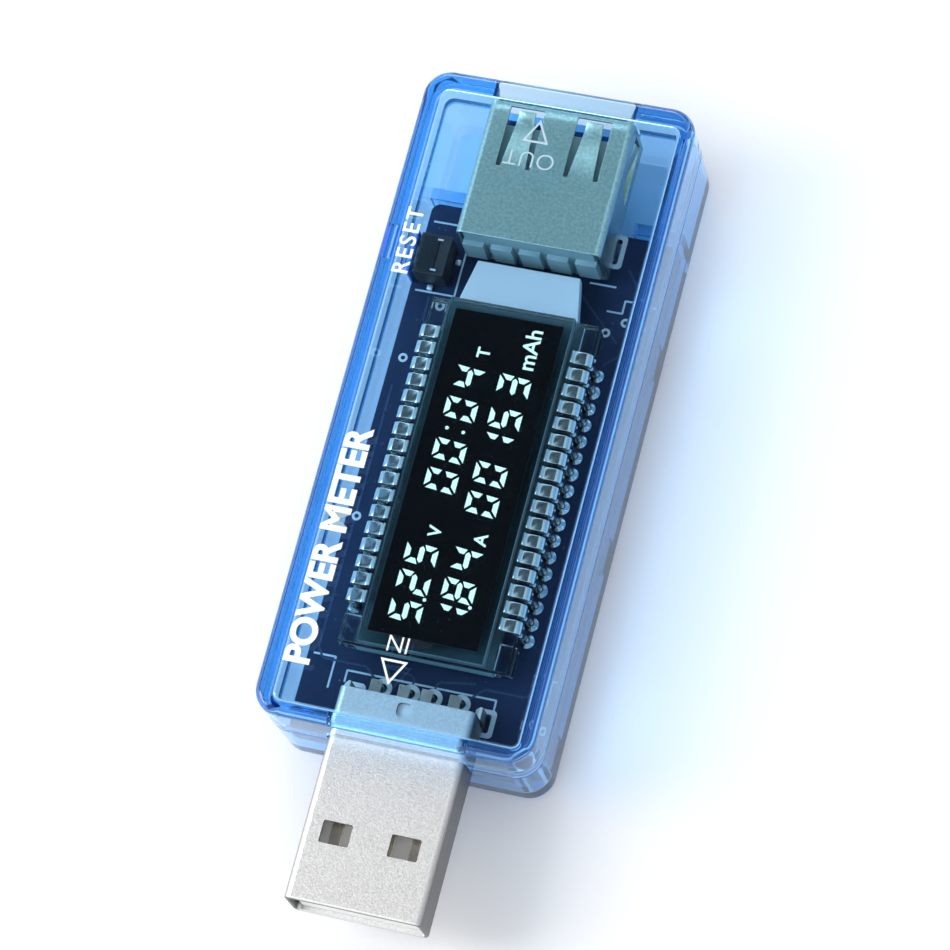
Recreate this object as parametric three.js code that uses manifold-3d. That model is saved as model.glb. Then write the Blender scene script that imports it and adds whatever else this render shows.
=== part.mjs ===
// Inline USB power meter: a translucent blue stick with a USB-A plug at one end, a USB-A
// receptacle at the other and a segment display between them.
// Millimetres, +Z up. The meter lies on its back with the display facing +Z, the plug points
// to -Y and the receptacle opens to +Y. The origin is under the middle of its overall box.
import * as THREE from "three";
import { mergeVertices } from "three/addons/utils/BufferGeometryUtils.js";
import Module from "manifold-3d";

const wasm = await Module();
wasm.setup();

// ---- Driving dimensions -------------------------------------------------------------------

const housing = {
  width: 24.5,
  length: 59.8,
  height: 12.4,
  cornerRadius: 2.4,
  edgeRadius: 0.7,
  sideWall: 1.4,
  floor: 1.3,
  roof: 1.4,
  seamHeight: 7.3,
  lipHeight: 0.9,
  lipThickness: 0.6,
  lipClearance: 0.12,
  draft: 0.13, // how much each lower wall leans in from the seam to the floor
  cavityCornerRadius: 0.8,
  cavityEdgeRadius: 0.3,
  lipPlugGap: 2.6, // the lip stops this far inside the plug end wall
  lipMouthGap: 2, // and this far inside the receptacle end wall
  lipSideGap: 0.15, // and this far beside the receptacle
};
const board = {
  shortOfMouth: 8.3, // from the receptacle's mouth to the end of the board
  thickness: 1.2,
  topHeight: 4.3,
  edgeGap: 0.15,
  endGap: 0.4,
  holeClearance: 0.25,
};
const plug = {
  width: 12,
  height: 4.5,
  wall: 0.3,
  cornerRadius: 0.7,
  reach: 14.2, // out of the housing
  tail: 4.4, // past the housing's end face
  latchWidth: 2.6,
  latchLength: 1.95,
  latchSpacing: 6,
  latchFromTip: 5.16,
  keyHole: 1.3,
  keyHoleFromTail: 1.1,
  tongueThickness: 1.95,
  tongueSetback: 0.5,
  blockPastFace: 0.8, // the full-height block starts this far out of the housing
  slotPastFace: 2, // and the contact slots this far out
  legWidth: 1.6,
  legPastTail: 1.1,
  legRise: 2.2,
  opening: 0.15, // gap to the housing
};
const receptacle = {
  width: 13.1,
  height: 5.72,
  wall: 0.3,
  cornerRadius: 0.6,
  length: 12.65,
  mouthStep: 0.06, // the housing's end wall covers this much of the shell's own wall
  springLength: 6,
  springWidth: 3.1,
  springSpacing: 6.1,
  springTip: 1.5,
  springRoot: 2.3,
  springDip: 0.55,
  springBendFromMouth: 1.5,
  springTipFromMouth: 0.5,
  springTipDip: 0.1,
  windowFromMouth: 0.3,
  tongueThickness: 1.84,
  tongueHalfWidth: 5.55,
  tongueDrop: 0.72,
  tongueSetback: 1.7,
  blockDepth: 3.5,
  legWidth: 2,
  legFromRear: 2.8,
  legRise: 0.9,
  bumps: 5,
  bumpWidth: 1.9,
  bumpPitch: 2.55,
  bumpDepth: 0.5,
  bumpAboveFloor: 0.9,
  bumpBelowRoof: 1.3,
  leadNotch: 0.6, // how far the notch in the shell's floor runs past its leads
};
const contact = {
  positions: [-3.5, -1, 1, 3.5],
  width: 1,
  thickness: 0.16,
  legWidth: 0.5,
  slotGap: 0.1,
  plugInset: [1.6, 2.6, 2.6, 1.6],
  plugLegFromTail: 1.5,
  receptacleLegFromRear: 1.2,
  receptacleInset: 0.5,
};
const display = {
  centre: 24.7, // from the housing's plug end face to the middle of the pin rows
  glassShift: -0.4, // from there to the middle of the glass
  endMargin: 3.66, // glass past the last pin at each end
  frontWidth: 11.2,
  rearWidth: 15,
  glass: 0.9,
  film: 0.2,
  filmSideInset: 0.75,
  filmEndInset: 1.05,
  rearHeight: 7.05,
  backlight: 1.1,
  backlightGap: 0.05,
  backlightWidth: 12.2,
  earWidth: 15.4,
  earLength: 2.7,
  ledEndLength: 4.35,
  ledEndRoot: 11,
  ledEndTip: 9.3,
};
const pin = {
  count: 17,
  pitch: 1.53,
  thickness: 0.22,
  jawWidth: 1.1,
  jawReach: 1.7,
  lowerReach: 0.8,
  legWidth: 0.45,
  glassGap: 0.06,
  shoulder: 1.3,
};
const leadBelowBoard = 0.7;
const reset = {
  centre: 44.4, // from the housing's plug end face
  height: 5.6,
  capWidth: 3,
  capHeight: 1.6,
  capClearance: 0.15,
  flange: 0.55,
  flangeRise: 0.385,
  flangeThickness: 0.3,
  flangeGap: 0.03,
  recess: 0.08,
  travel: 0.25,
  stopMargin: 0.07,
  bodyLength: 2.8,
  bodyWidth: 3.8,
  bodyHeight: 2.6,
  plungerWidth: 1.6,
  plungerHeight: 0.9,
  plungerDepth: 0.6,
  pocketGap: 0.1,
};
const ledge = { width: 1.5, length: 3, stations: [4, 22, 40] };
const endStop = { reach: 3.2, thickness: 1.1, overBoard: 1 };
const cradle = { width: 9, thickness: 1.2, fromMouth: 3.2 };
// Parts under the board: x, distance from the housing's plug end face, width, length, height.
const underside = {
  controller_chip: { x: 0.4, y: 25.5, width: 7, length: 7, height: 1.2, colour: 0x1b1c1f },
  memory_chip: { x: -3.2, y: 35.2, width: 3.9, length: 4.9, height: 1.2, colour: 0x1d1e20 },
  voltage_regulator: { x: 3.6, y: 38.4, width: 4.5, length: 2.5, height: 1.2, colour: 0x202124 },
  shunt_resistor: { x: 0.6, y: 14.2, width: 3.2, length: 6.3, height: 0.6, colour: 0x26282b },
};

// ---- Places worked out from the driving dimensions ------------------------------------------

const plugFace = (plug.reach - housing.length) / 2;
const outFace = plugFace + housing.length;
const inward = (distance) => plugFace + distance;
const innerHalfWidth = housing.width / 2 - housing.sideWall;
const ceiling = housing.height - housing.roof;
const boardBottom = board.topHeight - board.thickness;
const boardHalfWidth = innerHalfWidth - board.edgeGap;
const boardStart = inward(housing.sideWall + board.endGap);
const boardEnd = outFace - housing.sideWall - board.shortOfMouth;
const leadEnd = boardBottom - leadBelowBoard;
const plugTip = plugFace - plug.reach;
const plugTail = plugFace + plug.tail;
const plugTop = board.topHeight + plug.height;
const receptacleMouth = outFace - housing.sideWall;
const receptacleRear = receptacleMouth - receptacle.length;
const receptacleTop = board.topHeight + receptacle.height;

const past = 1; // how far a cut runs past what it cuts, or a joined piece into its neighbour

// ---- Solids ---------------------------------------------------------------------------------

// A closed three.js geometry as a solid that can be joined and cut.
function solid(geometry) {
  const bare = geometry.index ? geometry.toNonIndexed() : geometry.clone();
  for (const name of Object.keys(bare.attributes)) {
    if (name !== "position") bare.deleteAttribute(name);
  }
  const merged = mergeVertices(bare, 1e-4);
  return new wasm.Manifold(
    new wasm.Mesh({
      numProp: 3,
      vertProperties: merged.attributes.position.array,
      triVerts: new Uint32Array(merged.index.array),
    }),
  );
}

// A solid back as a three.js geometry with flat-shaded faces.
function geometryOf(body) {
  const mesh = body.getMesh();
  const indexed = new THREE.BufferGeometry()
    .setAttribute("position", new THREE.BufferAttribute(mesh.vertProperties, 3))
    .setIndex(new THREE.BufferAttribute(mesh.triVerts, 1));
  const flat = indexed.toNonIndexed();
  flat.computeVertexNormals();
  return flat;
}

function box([x0, x1], [y0, y1], [z0, z1]) {
  const geometry = new THREE.BoxGeometry(x1 - x0, y1 - y0, z1 - z0);
  return solid(geometry.translate((x0 + x1) / 2, (y0 + y1) / 2, (z0 + z1) / 2));
}

function middle(centre, size) {
  return [centre - size / 2, centre + size / 2];
}

function roundedRectangle(width, height, radius) {
  const x = width / 2 - radius;
  const y = height / 2 - radius;
  const shape = new THREE.Shape();
  shape.absarc(x, y, radius, 0, Math.PI / 2);
  shape.absarc(-x, y, radius, Math.PI / 2, Math.PI);
  shape.absarc(-x, -y, radius, Math.PI, 1.5 * Math.PI);
  shape.absarc(x, -y, radius, 1.5 * Math.PI, 2 * Math.PI);
  shape.closePath();
  return shape;
}

function polygon(points) {
  return new THREE.Shape(points.map(([x, y]) => new THREE.Vector2(x, y)));
}

// A plan outline raised from z0 to z1.
function raised(shape, [z0, z1], curveSegments = 4) {
  const options = { depth: z1 - z0, bevelEnabled: false, curveSegments };
  return solid(new THREE.ExtrudeGeometry(shape, options).translate(0, 0, z0));
}

// A section drawn in X and Z, run along Y from y0 to y1.
function alongY(shape, [y0, y1], curveSegments = 3) {
  const options = { depth: y1 - y0, bevelEnabled: false, curveSegments };
  const geometry = new THREE.ExtrudeGeometry(shape, options);
  return solid(geometry.rotateX(Math.PI / 2).translate(0, y1, 0));
}

// A side profile drawn in Y and Z, run along X from x0 to x1.
function alongX(shape, [x0, x1]) {
  const options = { depth: x1 - x0, bevelEnabled: false, curveSegments: 3 };
  const toSide = new THREE.Matrix4().makeBasis(
    new THREE.Vector3(0, 1, 0),
    new THREE.Vector3(0, 0, 1),
    new THREE.Vector3(1, 0, 0),
  );
  const geometry = new THREE.ExtrudeGeometry(shape, options).applyMatrix4(toSide);
  return solid(geometry.translate(x0, 0, 0));
}

// A block with round upright corners and its top and bottom edges rounded over. Its upright
// walls lean in by draft from mid-height to the bottom, and out by as much to the top.
function roundedBlock(width, length, [z0, z1], cornerRadius, edgeRadius, draft = 0) {
  const centre = (plugFace + outFace) / 2;
  const geometry = new THREE.ExtrudeGeometry(roundedRectangle(width, length, cornerRadius), {
    depth: z1 - z0 - 2 * edgeRadius,
    bevelEnabled: true,
    bevelThickness: edgeRadius,
    bevelSize: edgeRadius,
    bevelOffset: -edgeRadius,
    bevelSegments: 3,
    curveSegments: 5,
  });
  geometry.translate(0, 0, z0 + edgeRadius);
  const corners = geometry.getAttribute("position");
  for (let i = 0; i < corners.count; i++) {
    const [x, y, z] = [corners.getX(i), corners.getY(i), corners.getZ(i)];
    const lean = (draft * (z - (z0 + z1) / 2)) / ((z1 - z0) / 2);
    corners.setXY(i, x + Math.sign(x) * lean, y + Math.sign(y) * lean);
  }
  return solid(geometry.translate(0, centre, 0));
}

function union(bodies) {
  return bodies.reduce((whole, body) => whole.add(body));
}

// ---- Finishes -------------------------------------------------------------------------------

const finish = (color, roughness, metalness, extra = {}) =>
  new THREE.MeshStandardMaterial({ color, roughness, metalness, ...extra });
const finishes = {
  blueCase: finish(0x4f97e6, 0.08, 0, { transparent: true, opacity: 0.55 }),
  board: finish(0x16233f, 0.45, 0),
  glass: finish(0xbfe3dc, 0.05, 0, { transparent: true, opacity: 0.5 }),
  film: finish(0x050607, 0.2, 0),
  diffuser: finish(0xe8edf2, 0.5, 0),
  tin: finish(0xc9ccd0, 0.28, 1),
  steel: finish(0xb9bbbd, 0.35, 1),
  gold: finish(0xd8b25a, 0.25, 1),
  whitePlastic: finish(0xe6e8ea, 0.45, 0),
  blackPlastic: finish(0x17181b, 0.5, 0),
};

const meter = new THREE.Group();

function addNode(name, body, material) {
  const mesh = new THREE.Mesh(geometryOf(body), material);
  mesh.name = name;
  meter.add(mesh);
}

// ---- Housing --------------------------------------------------------------------------------

// The rounded outline that lies a given distance outside the cavity, as a ring's edge.
function cavityOutline(offset, range) {
  const width = 2 * innerHalfWidth + 2 * offset;
  const length = housing.length - 2 * housing.sideWall + 2 * offset;
  const radius = housing.cavityCornerRadius + offset;
  const centre = (plugFace + outFace) / 2;
  return raised(roundedRectangle(width, length, radius), range, 5).translate([0, centre, 0]);
}

const acrossHousing = [-housing.width, housing.width];
const alongHousing = [plugFace - past, outFace + past];
const lipTop = housing.seamHeight + housing.lipHeight;
const aboveSeam = box(acrossHousing, alongHousing, [housing.seamHeight, housing.height + past]);
const belowSeam = box(acrossHousing, alongHousing, [-past, housing.seamHeight]);

function hollowed(outside) {
  const cavity = roundedBlock(
    2 * innerHalfWidth,
    housing.length - 2 * housing.sideWall,
    [housing.floor, ceiling],
    housing.cavityCornerRadius,
    housing.cavityEdgeRadius,
  );
  const plugGap = plug.opening;
  const plugOpening = box(
    middle(0, plug.width + 2 * plugGap),
    [plugFace - past, inward(housing.sideWall) + past],
    [board.topHeight - plugGap, plugTop + plugGap],
  );
  const step = receptacle.mouthStep;
  const mouthOpening = box(
    middle(0, receptacle.width - 2 * step),
    [receptacleMouth - past, outFace + past],
    [board.topHeight + step, receptacleTop - step],
  );
  return outside.subtract(cavity).subtract(plugOpening).subtract(mouthOpening);
}

function housingTop() {
  const outside = roundedBlock(
    housing.width, housing.length, [0, housing.height], housing.cornerRadius, housing.edgeRadius,
  );
  const recess = cavityOutline(
    housing.lipThickness + housing.lipClearance,
    [housing.seamHeight - past, lipTop + housing.lipClearance],
  );
  return hollowed(outside.intersect(aboveSeam)).subtract(recess);
}

function housingBottom() {
  const outside = roundedBlock(
    housing.width,
    housing.length,
    [0, 2 * housing.seamHeight],
    housing.cornerRadius,
    housing.edgeRadius,
    housing.draft,
  );
  const lipCut = [0, lipTop + past];
  const plugCut = box(
    middle(0, plug.width + 2 * plug.opening),
    [plugFace - past, inward(housing.sideWall + housing.lipPlugGap)],
    lipCut,
  );
  const mouthCut = box(
    middle(0, receptacle.width + 2 * housing.lipSideGap),
    [receptacleMouth - housing.lipMouthGap, outFace + past],
    lipCut,
  );
  const lip = cavityOutline(housing.lipThickness, [housing.seamHeight, lipTop])
    .subtract(cavityOutline(0, lipCut))
    .subtract(plugCut)
    .subtract(mouthCut);
  const wallInside = innerHalfWidth + (housing.sideWall - housing.draft) / 2;
  const features = [];
  for (const side of [-1, 1]) {
    const toWall = (reach) =>
      [side * (innerHalfWidth - reach), side * wallInside].sort((a, b) => a - b);
    for (const station of ledge.stations) {
      features.push(
        box(toWall(ledge.width), middle(inward(station), ledge.length), [housing.floor / 2, boardBottom]),
      );
    }
    features.push(
      box(
        toWall(endStop.reach),
        [boardEnd, boardEnd + endStop.thickness],
        [housing.floor / 2, board.topHeight + endStop.overBoard],
      ),
    );
  }
  features.push(
    box(
      middle(0, cradle.width),
      middle(receptacleMouth - cradle.fromMouth, cradle.thickness),
      [housing.floor / 2, board.topHeight],
    ),
  );
  const buttonHole = box(
    [-housing.width, -innerHalfWidth + past],
    middle(inward(reset.centre), reset.capWidth + 2 * reset.capClearance),
    middle(reset.height, reset.capHeight + 2 * reset.capClearance),
  );
  const shell = hollowed(outside.intersect(belowSeam));
  return union([shell, lip, ...features]).subtract(buttonHole);
}

addNode("housing_top", housingTop(), finishes.blueCase);
addNode("housing_bottom", housingBottom(), finishes.blueCase);

// ---- Circuit board --------------------------------------------------------------------------

const pinRows = Array.from(
  { length: pin.count },
  (_, i) => inward(display.centre) + (i - (pin.count - 1) / 2) * pin.pitch,
);
const pinLegX = display.rearWidth / 2 + pin.glassGap + pin.thickness / 2;
const plugPinY = plugTail + contact.plugLegFromTail;
const receptaclePinY = receptacleRear + contact.receptacleLegFromRear;
const plugLegY = plugTail + plug.legPastTail - plug.legWidth / 2;
const receptacleLegY = receptacleRear + receptacle.legFromRear;

function circuitBoard() {
  const gap = board.holeClearance;
  const through = [boardBottom - past, board.topHeight + past];
  const holes = [];
  const hole = (x, y, width, length) => {
    holes.push(box(middle(x, width + 2 * gap), middle(y, length + 2 * gap), through));
  };
  for (const side of [-1, 1]) {
    for (const y of pinRows) hole(side * pinLegX, y, pin.thickness, pin.legWidth);
    hole(side * (plug.width - plug.wall) / 2, plugLegY, plug.wall, plug.legWidth);
    hole(side * (receptacle.width - receptacle.wall) / 2, receptacleLegY, receptacle.wall, receptacle.legWidth);
  }
  for (const x of contact.positions) {
    hole(x, plugPinY, contact.legWidth, contact.thickness);
    hole(x, receptaclePinY, contact.legWidth, contact.thickness);
  }
  const outline = roundedRectangle(
    2 * boardHalfWidth, boardEnd - boardStart, housing.cavityCornerRadius,
  );
  const plate = raised(outline, [boardBottom, board.topHeight]);
  return plate.translate([0, (boardStart + boardEnd) / 2, 0]).subtract(union(holes));
}

addNode("circuit_board", circuitBoard(), finishes.board);

// ---- Display --------------------------------------------------------------------------------

const glassEnds = middle(
  inward(display.centre) + display.glassShift,
  (pin.count - 1) * pin.pitch + 2 * display.endMargin,
);
const rearGlassTop = display.rearHeight + display.glass;
const frontGlassTop = rearGlassTop + display.glass;
const backlightTop = display.rearHeight - display.backlightGap;
const backlightBottom = backlightTop - display.backlight;

function displayBacklight() {
  const [start, end] = glassEnds;
  const levels = [backlightBottom, backlightTop];
  const ledEnd = polygon([
    [-display.ledEndRoot / 2, end - past],
    [display.ledEndRoot / 2, end - past],
    [display.ledEndRoot / 2, end],
    [display.ledEndTip / 2, end + display.ledEndLength],
    [-display.ledEndTip / 2, end + display.ledEndLength],
    [-display.ledEndRoot / 2, end],
  ]);
  return union([
    box(middle(0, display.backlightWidth), glassEnds, levels),
    box(middle(0, display.earWidth), [start, start + display.earLength], levels),
    box(middle(0, display.earWidth), [end - display.earLength, end], levels),
    raised(ledEnd, levels),
  ]);
}

addNode("display_backlight", displayBacklight(), finishes.diffuser);
addNode(
  "display_glass_rear",
  box(middle(0, display.rearWidth), glassEnds, [display.rearHeight, rearGlassTop]),
  finishes.glass,
);
addNode(
  "display_glass_front",
  box(middle(0, display.frontWidth), glassEnds, [rearGlassTop, frontGlassTop]),
  finishes.glass,
);
addNode(
  "display_film",
  box(
    middle(0, display.frontWidth - 2 * display.filmSideInset),
    [glassEnds[0] + display.filmEndInset, glassEnds[1] - display.filmEndInset],
    [frontGlassTop, frontGlassTop + display.film],
  ),
  finishes.film,
);

// A clip-on lead: two jaws hold the edge of the rear glass, and the leg runs down through the
// board. Its shoulder is as wide as the jaws, and it narrows below that to fit its hole.
function displayPin(side, y) {
  const inner = display.rearWidth / 2 + pin.glassGap;
  const outer = inner + pin.thickness;
  const jawBottom = rearGlassTop + pin.glassGap;
  const jawTop = jawBottom + pin.thickness;
  const lowerTop = display.rearHeight - pin.glassGap;
  const lowerBottom = lowerTop - pin.thickness;
  const across = (from, to) => [side * from, side * to].sort((a, b) => a - b);
  const wide = middle(y, pin.jawWidth);
  return union([
    box(across(outer - pin.jawReach - pin.thickness, outer), wide, [jawBottom, jawTop]),
    box(across(outer - pin.lowerReach, outer), wide, [lowerBottom, lowerTop]),
    box(across(inner, outer), wide, [lowerBottom - pin.shoulder, jawTop]),
    box(across(inner, outer), middle(y, pin.legWidth), [leadEnd, lowerBottom]),
  ]);
}

for (const [sideName, side] of [["left", -1], ["right", 1]]) {
  pinRows.forEach((y, i) => {
    const number = String(i + 1).padStart(2, "0");
    addNode("display_pin_" + sideName + "_" + number, displayPin(side, y), finishes.tin);
  });
}

// ---- USB-A plug -----------------------------------------------------------------------------

// A rectangular tube of sheet metal along Y, standing on the board.
function sheetTube(part, range) {
  const centre = board.topHeight + part.height / 2;
  const section = roundedRectangle(part.width, part.height, part.cornerRadius);
  const bore = roundedRectangle(
    part.width - 2 * part.wall, part.height - 2 * part.wall, part.cornerRadius - part.wall,
  );
  section.holes.push(bore);
  return alongY(section, range).translate([0, 0, centre]);
}

function sheetLegs(part, y) {
  return [-1, 1].map((side) =>
    box(
      middle((side * (part.width - part.wall)) / 2, part.wall),
      middle(y, part.legWidth),
      [leadEnd, board.topHeight + part.legRise],
    ),
  );
}

function plugShell() {
  const latchY = plugTip + plug.latchFromTip + plug.latchLength / 2;
  const cuts = [-1, 1].map((side) =>
    box(
      middle((side * plug.latchSpacing) / 2, plug.latchWidth),
      middle(latchY, plug.latchLength),
      [board.topHeight - past, plugTop + past],
    ),
  );
  const keyY = plugTail - plug.keyHoleFromTail;
  cuts.push(box(middle(0, plug.keyHole), middle(keyY, plug.keyHole), [plugTop - past, plugTop + past]));
  return union([sheetTube(plug, [plugTip, plugTail]), ...sheetLegs(plug, plugLegY)]).subtract(union(cuts));
}

const plugFloor = board.topHeight + plug.wall;
const plugTongueTop = plugFloor + plug.tongueThickness;
const seat = 0.05; // what is slid into a metal shell clears it by this much

function plugInsulator() {
  const halfWidth = plug.width / 2 - plug.cornerRadius;
  const tongue = box(
    [-halfWidth, halfWidth], [plugTip + plug.tongueSetback, plugTail], [plugFloor + seat, plugTongueTop],
  );
  const block = box(
    [-halfWidth, halfWidth], [plugFace - plug.blockPastFace, plugTail], [plugFloor + seat, plugTop - plug.wall - seat],
  );
  const slots = contact.positions.map((x) =>
    box(
      middle(x, contact.width + 2 * contact.slotGap),
      [plugFace - plug.slotPastFace, plugTail + past],
      [plugTongueTop, plugTongueTop + contact.thickness + contact.slotGap],
    ),
  );
  return union([tongue, block]).subtract(union(slots));
}

function plugContact(index) {
  const x = contact.positions[index];
  const start = plugTip + plug.tongueSetback + contact.plugInset[index];
  const [legStart, legEnd] = middle(plugPinY, contact.thickness);
  const blade = box(
    middle(x, contact.width), [start, legEnd], [plugTongueTop, plugTongueTop + contact.thickness],
  );
  const leg = box(
    middle(x, contact.legWidth), [legStart, legEnd], [leadEnd, plugTongueTop + contact.thickness],
  );
  return blade.add(leg);
}

addNode("plug_shell", plugShell(), finishes.steel);
addNode("plug_insulator", plugInsulator(), finishes.whitePlastic);
contact.positions.forEach((_, i) => addNode("plug_contact_" + (i + 1), plugContact(i), finishes.gold));

// ---- USB-A receptacle -----------------------------------------------------------------------

const springRootY = receptacleMouth - receptacle.springLength;

// A tapered spring tongue that dips into the mouth and turns up again at its tip.
// It is drawn for the top wall: level is the wall's outer height and facing is 1 there.
// On the bottom wall facing is -1.
function springTongue(x, level, facing) {
  const wall = receptacle.wall;
  const tipY = receptacleMouth - receptacle.springTipFromMouth;
  const bendY = receptacleMouth - receptacle.springBendFromMouth;
  const low = level - facing * receptacle.springDip;
  const tipLevel = level - facing * receptacle.springTipDip;
  const outline = [
    [springRootY - past, level],
    [springRootY, level],
    [bendY, low],
    [tipY, tipLevel],
    [tipY, tipLevel - facing * wall],
    [bendY, low - facing * wall],
    [springRootY, level - facing * wall],
    [springRootY - past, level - facing * wall],
  ];
  const strip = alongX(polygon(outline), middle(x, receptacle.springRoot));
  const taper = polygon([
    [x - receptacle.springRoot / 2, springRootY - past],
    [x + receptacle.springRoot / 2, springRootY - past],
    [x + receptacle.springRoot / 2, springRootY],
    [x + receptacle.springTip / 2, tipY],
    [x + receptacle.springTip / 2, tipY + past],
    [x - receptacle.springTip / 2, tipY + past],
    [x - receptacle.springTip / 2, tipY],
    [x - receptacle.springRoot / 2, springRootY],
  ]);
  return strip.intersect(raised(taper, [0, housing.height]));
}

function receptacleShell() {
  const tube = sheetTube(receptacle, [receptacleRear, receptacleMouth]);
  const windows = [];
  const springs = [];
  for (const side of [-1, 1]) {
    const x = (side * receptacle.springSpacing) / 2;
    windows.push(
      box(
        middle(x, receptacle.springWidth),
        [springRootY, receptacleMouth - receptacle.windowFromMouth],
        [board.topHeight - past, receptacleTop + past],
      ),
    );
    springs.push(springTongue(x, receptacleTop, 1), springTongue(x, board.topHeight, -1));
  }
  const leadNotch = box(
    middle(0, 2 * contact.positions[3] + contact.width + 2 * board.holeClearance),
    [receptacleRear - past, receptaclePinY + receptacle.leadNotch],
    [board.topHeight - past, board.topHeight + receptacle.wall + seat],
  );
  windows.push(leadNotch);
  return union([tube.subtract(union(windows)), ...springs, ...sheetLegs(receptacle, receptacleLegY)]);
}

const tongueTop = receptacleTop - receptacle.wall - receptacle.tongueDrop;
const tongueBottom = tongueTop - receptacle.tongueThickness;
const blockFront = receptacleRear + receptacle.blockDepth;

function receptacleInsulator() {
  const halfWidth = receptacle.width / 2 - receptacle.wall - seat;
  const floor = board.topHeight + receptacle.wall + seat;
  const roof = receptacleTop - receptacle.wall - seat;
  const corner = receptacle.cornerRadius - receptacle.wall;
  const block = box([-halfWidth + corner, halfWidth - corner], [receptacleRear, blockFront], [floor, roof]);
  const tongue = box(
    [-receptacle.tongueHalfWidth, receptacle.tongueHalfWidth],
    [blockFront - past, receptacleMouth - receptacle.tongueSetback],
    [tongueBottom, tongueTop],
  );
  const bumps = Array.from({ length: receptacle.bumps }, (_, i) =>
    box(
      middle((i - (receptacle.bumps - 1) / 2) * receptacle.bumpPitch, receptacle.bumpWidth),
      [receptacleRear - receptacle.bumpDepth, receptacleRear + past],
      [floor + receptacle.bumpAboveFloor, roof - receptacle.bumpBelowRoof],
    ),
  );
  const slots = contact.positions.map((x) => {
    const width = middle(x, contact.width + 2 * contact.slotGap);
    const bladeSlot = box(
      width,
      [receptaclePinY - contact.slotGap - contact.thickness, blockFront + past],
      [tongueBottom - contact.thickness - contact.slotGap, tongueBottom],
    );
    const legSlot = box(
      width,
      middle(receptaclePinY, contact.thickness + 2 * contact.slotGap),
      [floor - past, tongueBottom],
    );
    return bladeSlot.add(legSlot);
  });
  return union([block, tongue, ...bumps]).subtract(union(slots));
}

function receptacleContact(x) {
  const [legStart, legEnd] = middle(receptaclePinY, contact.thickness);
  const bladeEnd = receptacleMouth - receptacle.tongueSetback - contact.receptacleInset;
  const blade = box(
    middle(x, contact.width), [legStart, bladeEnd], [tongueBottom - contact.thickness, tongueBottom],
  );
  return blade.add(box(middle(x, contact.legWidth), [legStart, legEnd], [leadEnd, tongueBottom]));
}

addNode("receptacle_shell", receptacleShell(), finishes.steel);
addNode("receptacle_insulator", receptacleInsulator(), finishes.whitePlastic);
contact.positions.forEach((x, i) =>
  addNode("receptacle_contact_" + (i + 1), receptacleContact(x), finishes.gold),
);

// ---- Reset button ---------------------------------------------------------------------------

const flangeOuter = -innerHalfWidth + reset.flangeGap;
const flangeInner = flangeOuter + reset.flangeThickness;
const switchFace = flangeInner + reset.travel + reset.stopMargin;
const resetY = inward(reset.centre);

function resetButton() {
  const cap = box(
    [-housing.width / 2 + reset.recess, flangeInner],
    middle(resetY, reset.capWidth),
    middle(reset.height, reset.capHeight),
  );
  const flange = box(
    [flangeOuter, flangeInner],
    middle(resetY, reset.capWidth + 2 * reset.flange),
    middle(reset.height, reset.capHeight + 2 * reset.flangeRise),
  );
  return cap.add(flange);
}

function resetPlunger() {
  return box(
    [flangeInner, switchFace + reset.plungerDepth],
    middle(resetY, reset.plungerWidth),
    middle(reset.height, reset.plungerHeight),
  );
}

function resetSwitchBody() {
  const body = box(
    [switchFace, switchFace + reset.bodyLength],
    middle(resetY, reset.bodyWidth),
    [board.topHeight, board.topHeight + reset.bodyHeight],
  );
  const pocket = box(
    [switchFace - past, switchFace + reset.plungerDepth + reset.travel + reset.pocketGap],
    middle(resetY, reset.plungerWidth + 2 * reset.pocketGap),
    middle(reset.height, reset.plungerHeight + 2 * reset.pocketGap),
  );
  return body.subtract(pocket);
}

addNode("reset_button", resetButton(), finishes.blackPlastic);
addNode("reset_switch_plunger", resetPlunger(), finishes.whitePlastic);
addNode("reset_switch_body", resetSwitchBody(), finishes.blackPlastic);

// ---- Parts under the board ------------------------------------------------------------------

for (const [name, chip] of Object.entries(underside)) {
  const body = box(
    middle(chip.x, chip.width), middle(inward(chip.y), chip.length), [boardBottom - chip.height, boardBottom],
  );
  addNode(name, body, finish(chip.colour, 0.5, 0));
}

export default meter;
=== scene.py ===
"""Looks of the inline USB power meter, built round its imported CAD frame.

Lengths are millimetres in the frame's axes while a piece is being made, and metres once it is settled.
"""

import logging
import math
from collections.abc import Callable, Iterable, Sequence
from dataclasses import dataclass
from enum import Enum
from typing import ClassVar

import bmesh
import bpy
from mathutils import Matrix, Vector


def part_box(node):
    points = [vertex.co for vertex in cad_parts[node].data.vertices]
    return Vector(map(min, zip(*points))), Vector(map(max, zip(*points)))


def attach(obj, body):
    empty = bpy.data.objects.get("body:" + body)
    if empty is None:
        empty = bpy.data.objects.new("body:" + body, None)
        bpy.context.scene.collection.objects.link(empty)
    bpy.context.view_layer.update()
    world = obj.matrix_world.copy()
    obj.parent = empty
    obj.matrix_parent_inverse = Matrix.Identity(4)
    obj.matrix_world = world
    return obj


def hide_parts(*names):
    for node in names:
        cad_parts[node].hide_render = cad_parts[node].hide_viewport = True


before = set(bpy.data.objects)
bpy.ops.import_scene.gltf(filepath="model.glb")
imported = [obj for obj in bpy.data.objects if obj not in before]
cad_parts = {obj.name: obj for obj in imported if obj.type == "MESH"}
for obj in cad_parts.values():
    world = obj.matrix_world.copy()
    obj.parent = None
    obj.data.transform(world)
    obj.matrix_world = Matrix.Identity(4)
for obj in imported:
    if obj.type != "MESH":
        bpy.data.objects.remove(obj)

MM = 0.001
FAR = 50  # millimetres, past the end of every piece
DOUBLES = 1e-5  # points nearer than this, in millimetres, are one
FLAT_ANGLE = math.radians(1)  # faces that meet at less than this are one
CAPITAL = 0.73  # a capital's height as a share of the built-in face's size
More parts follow.
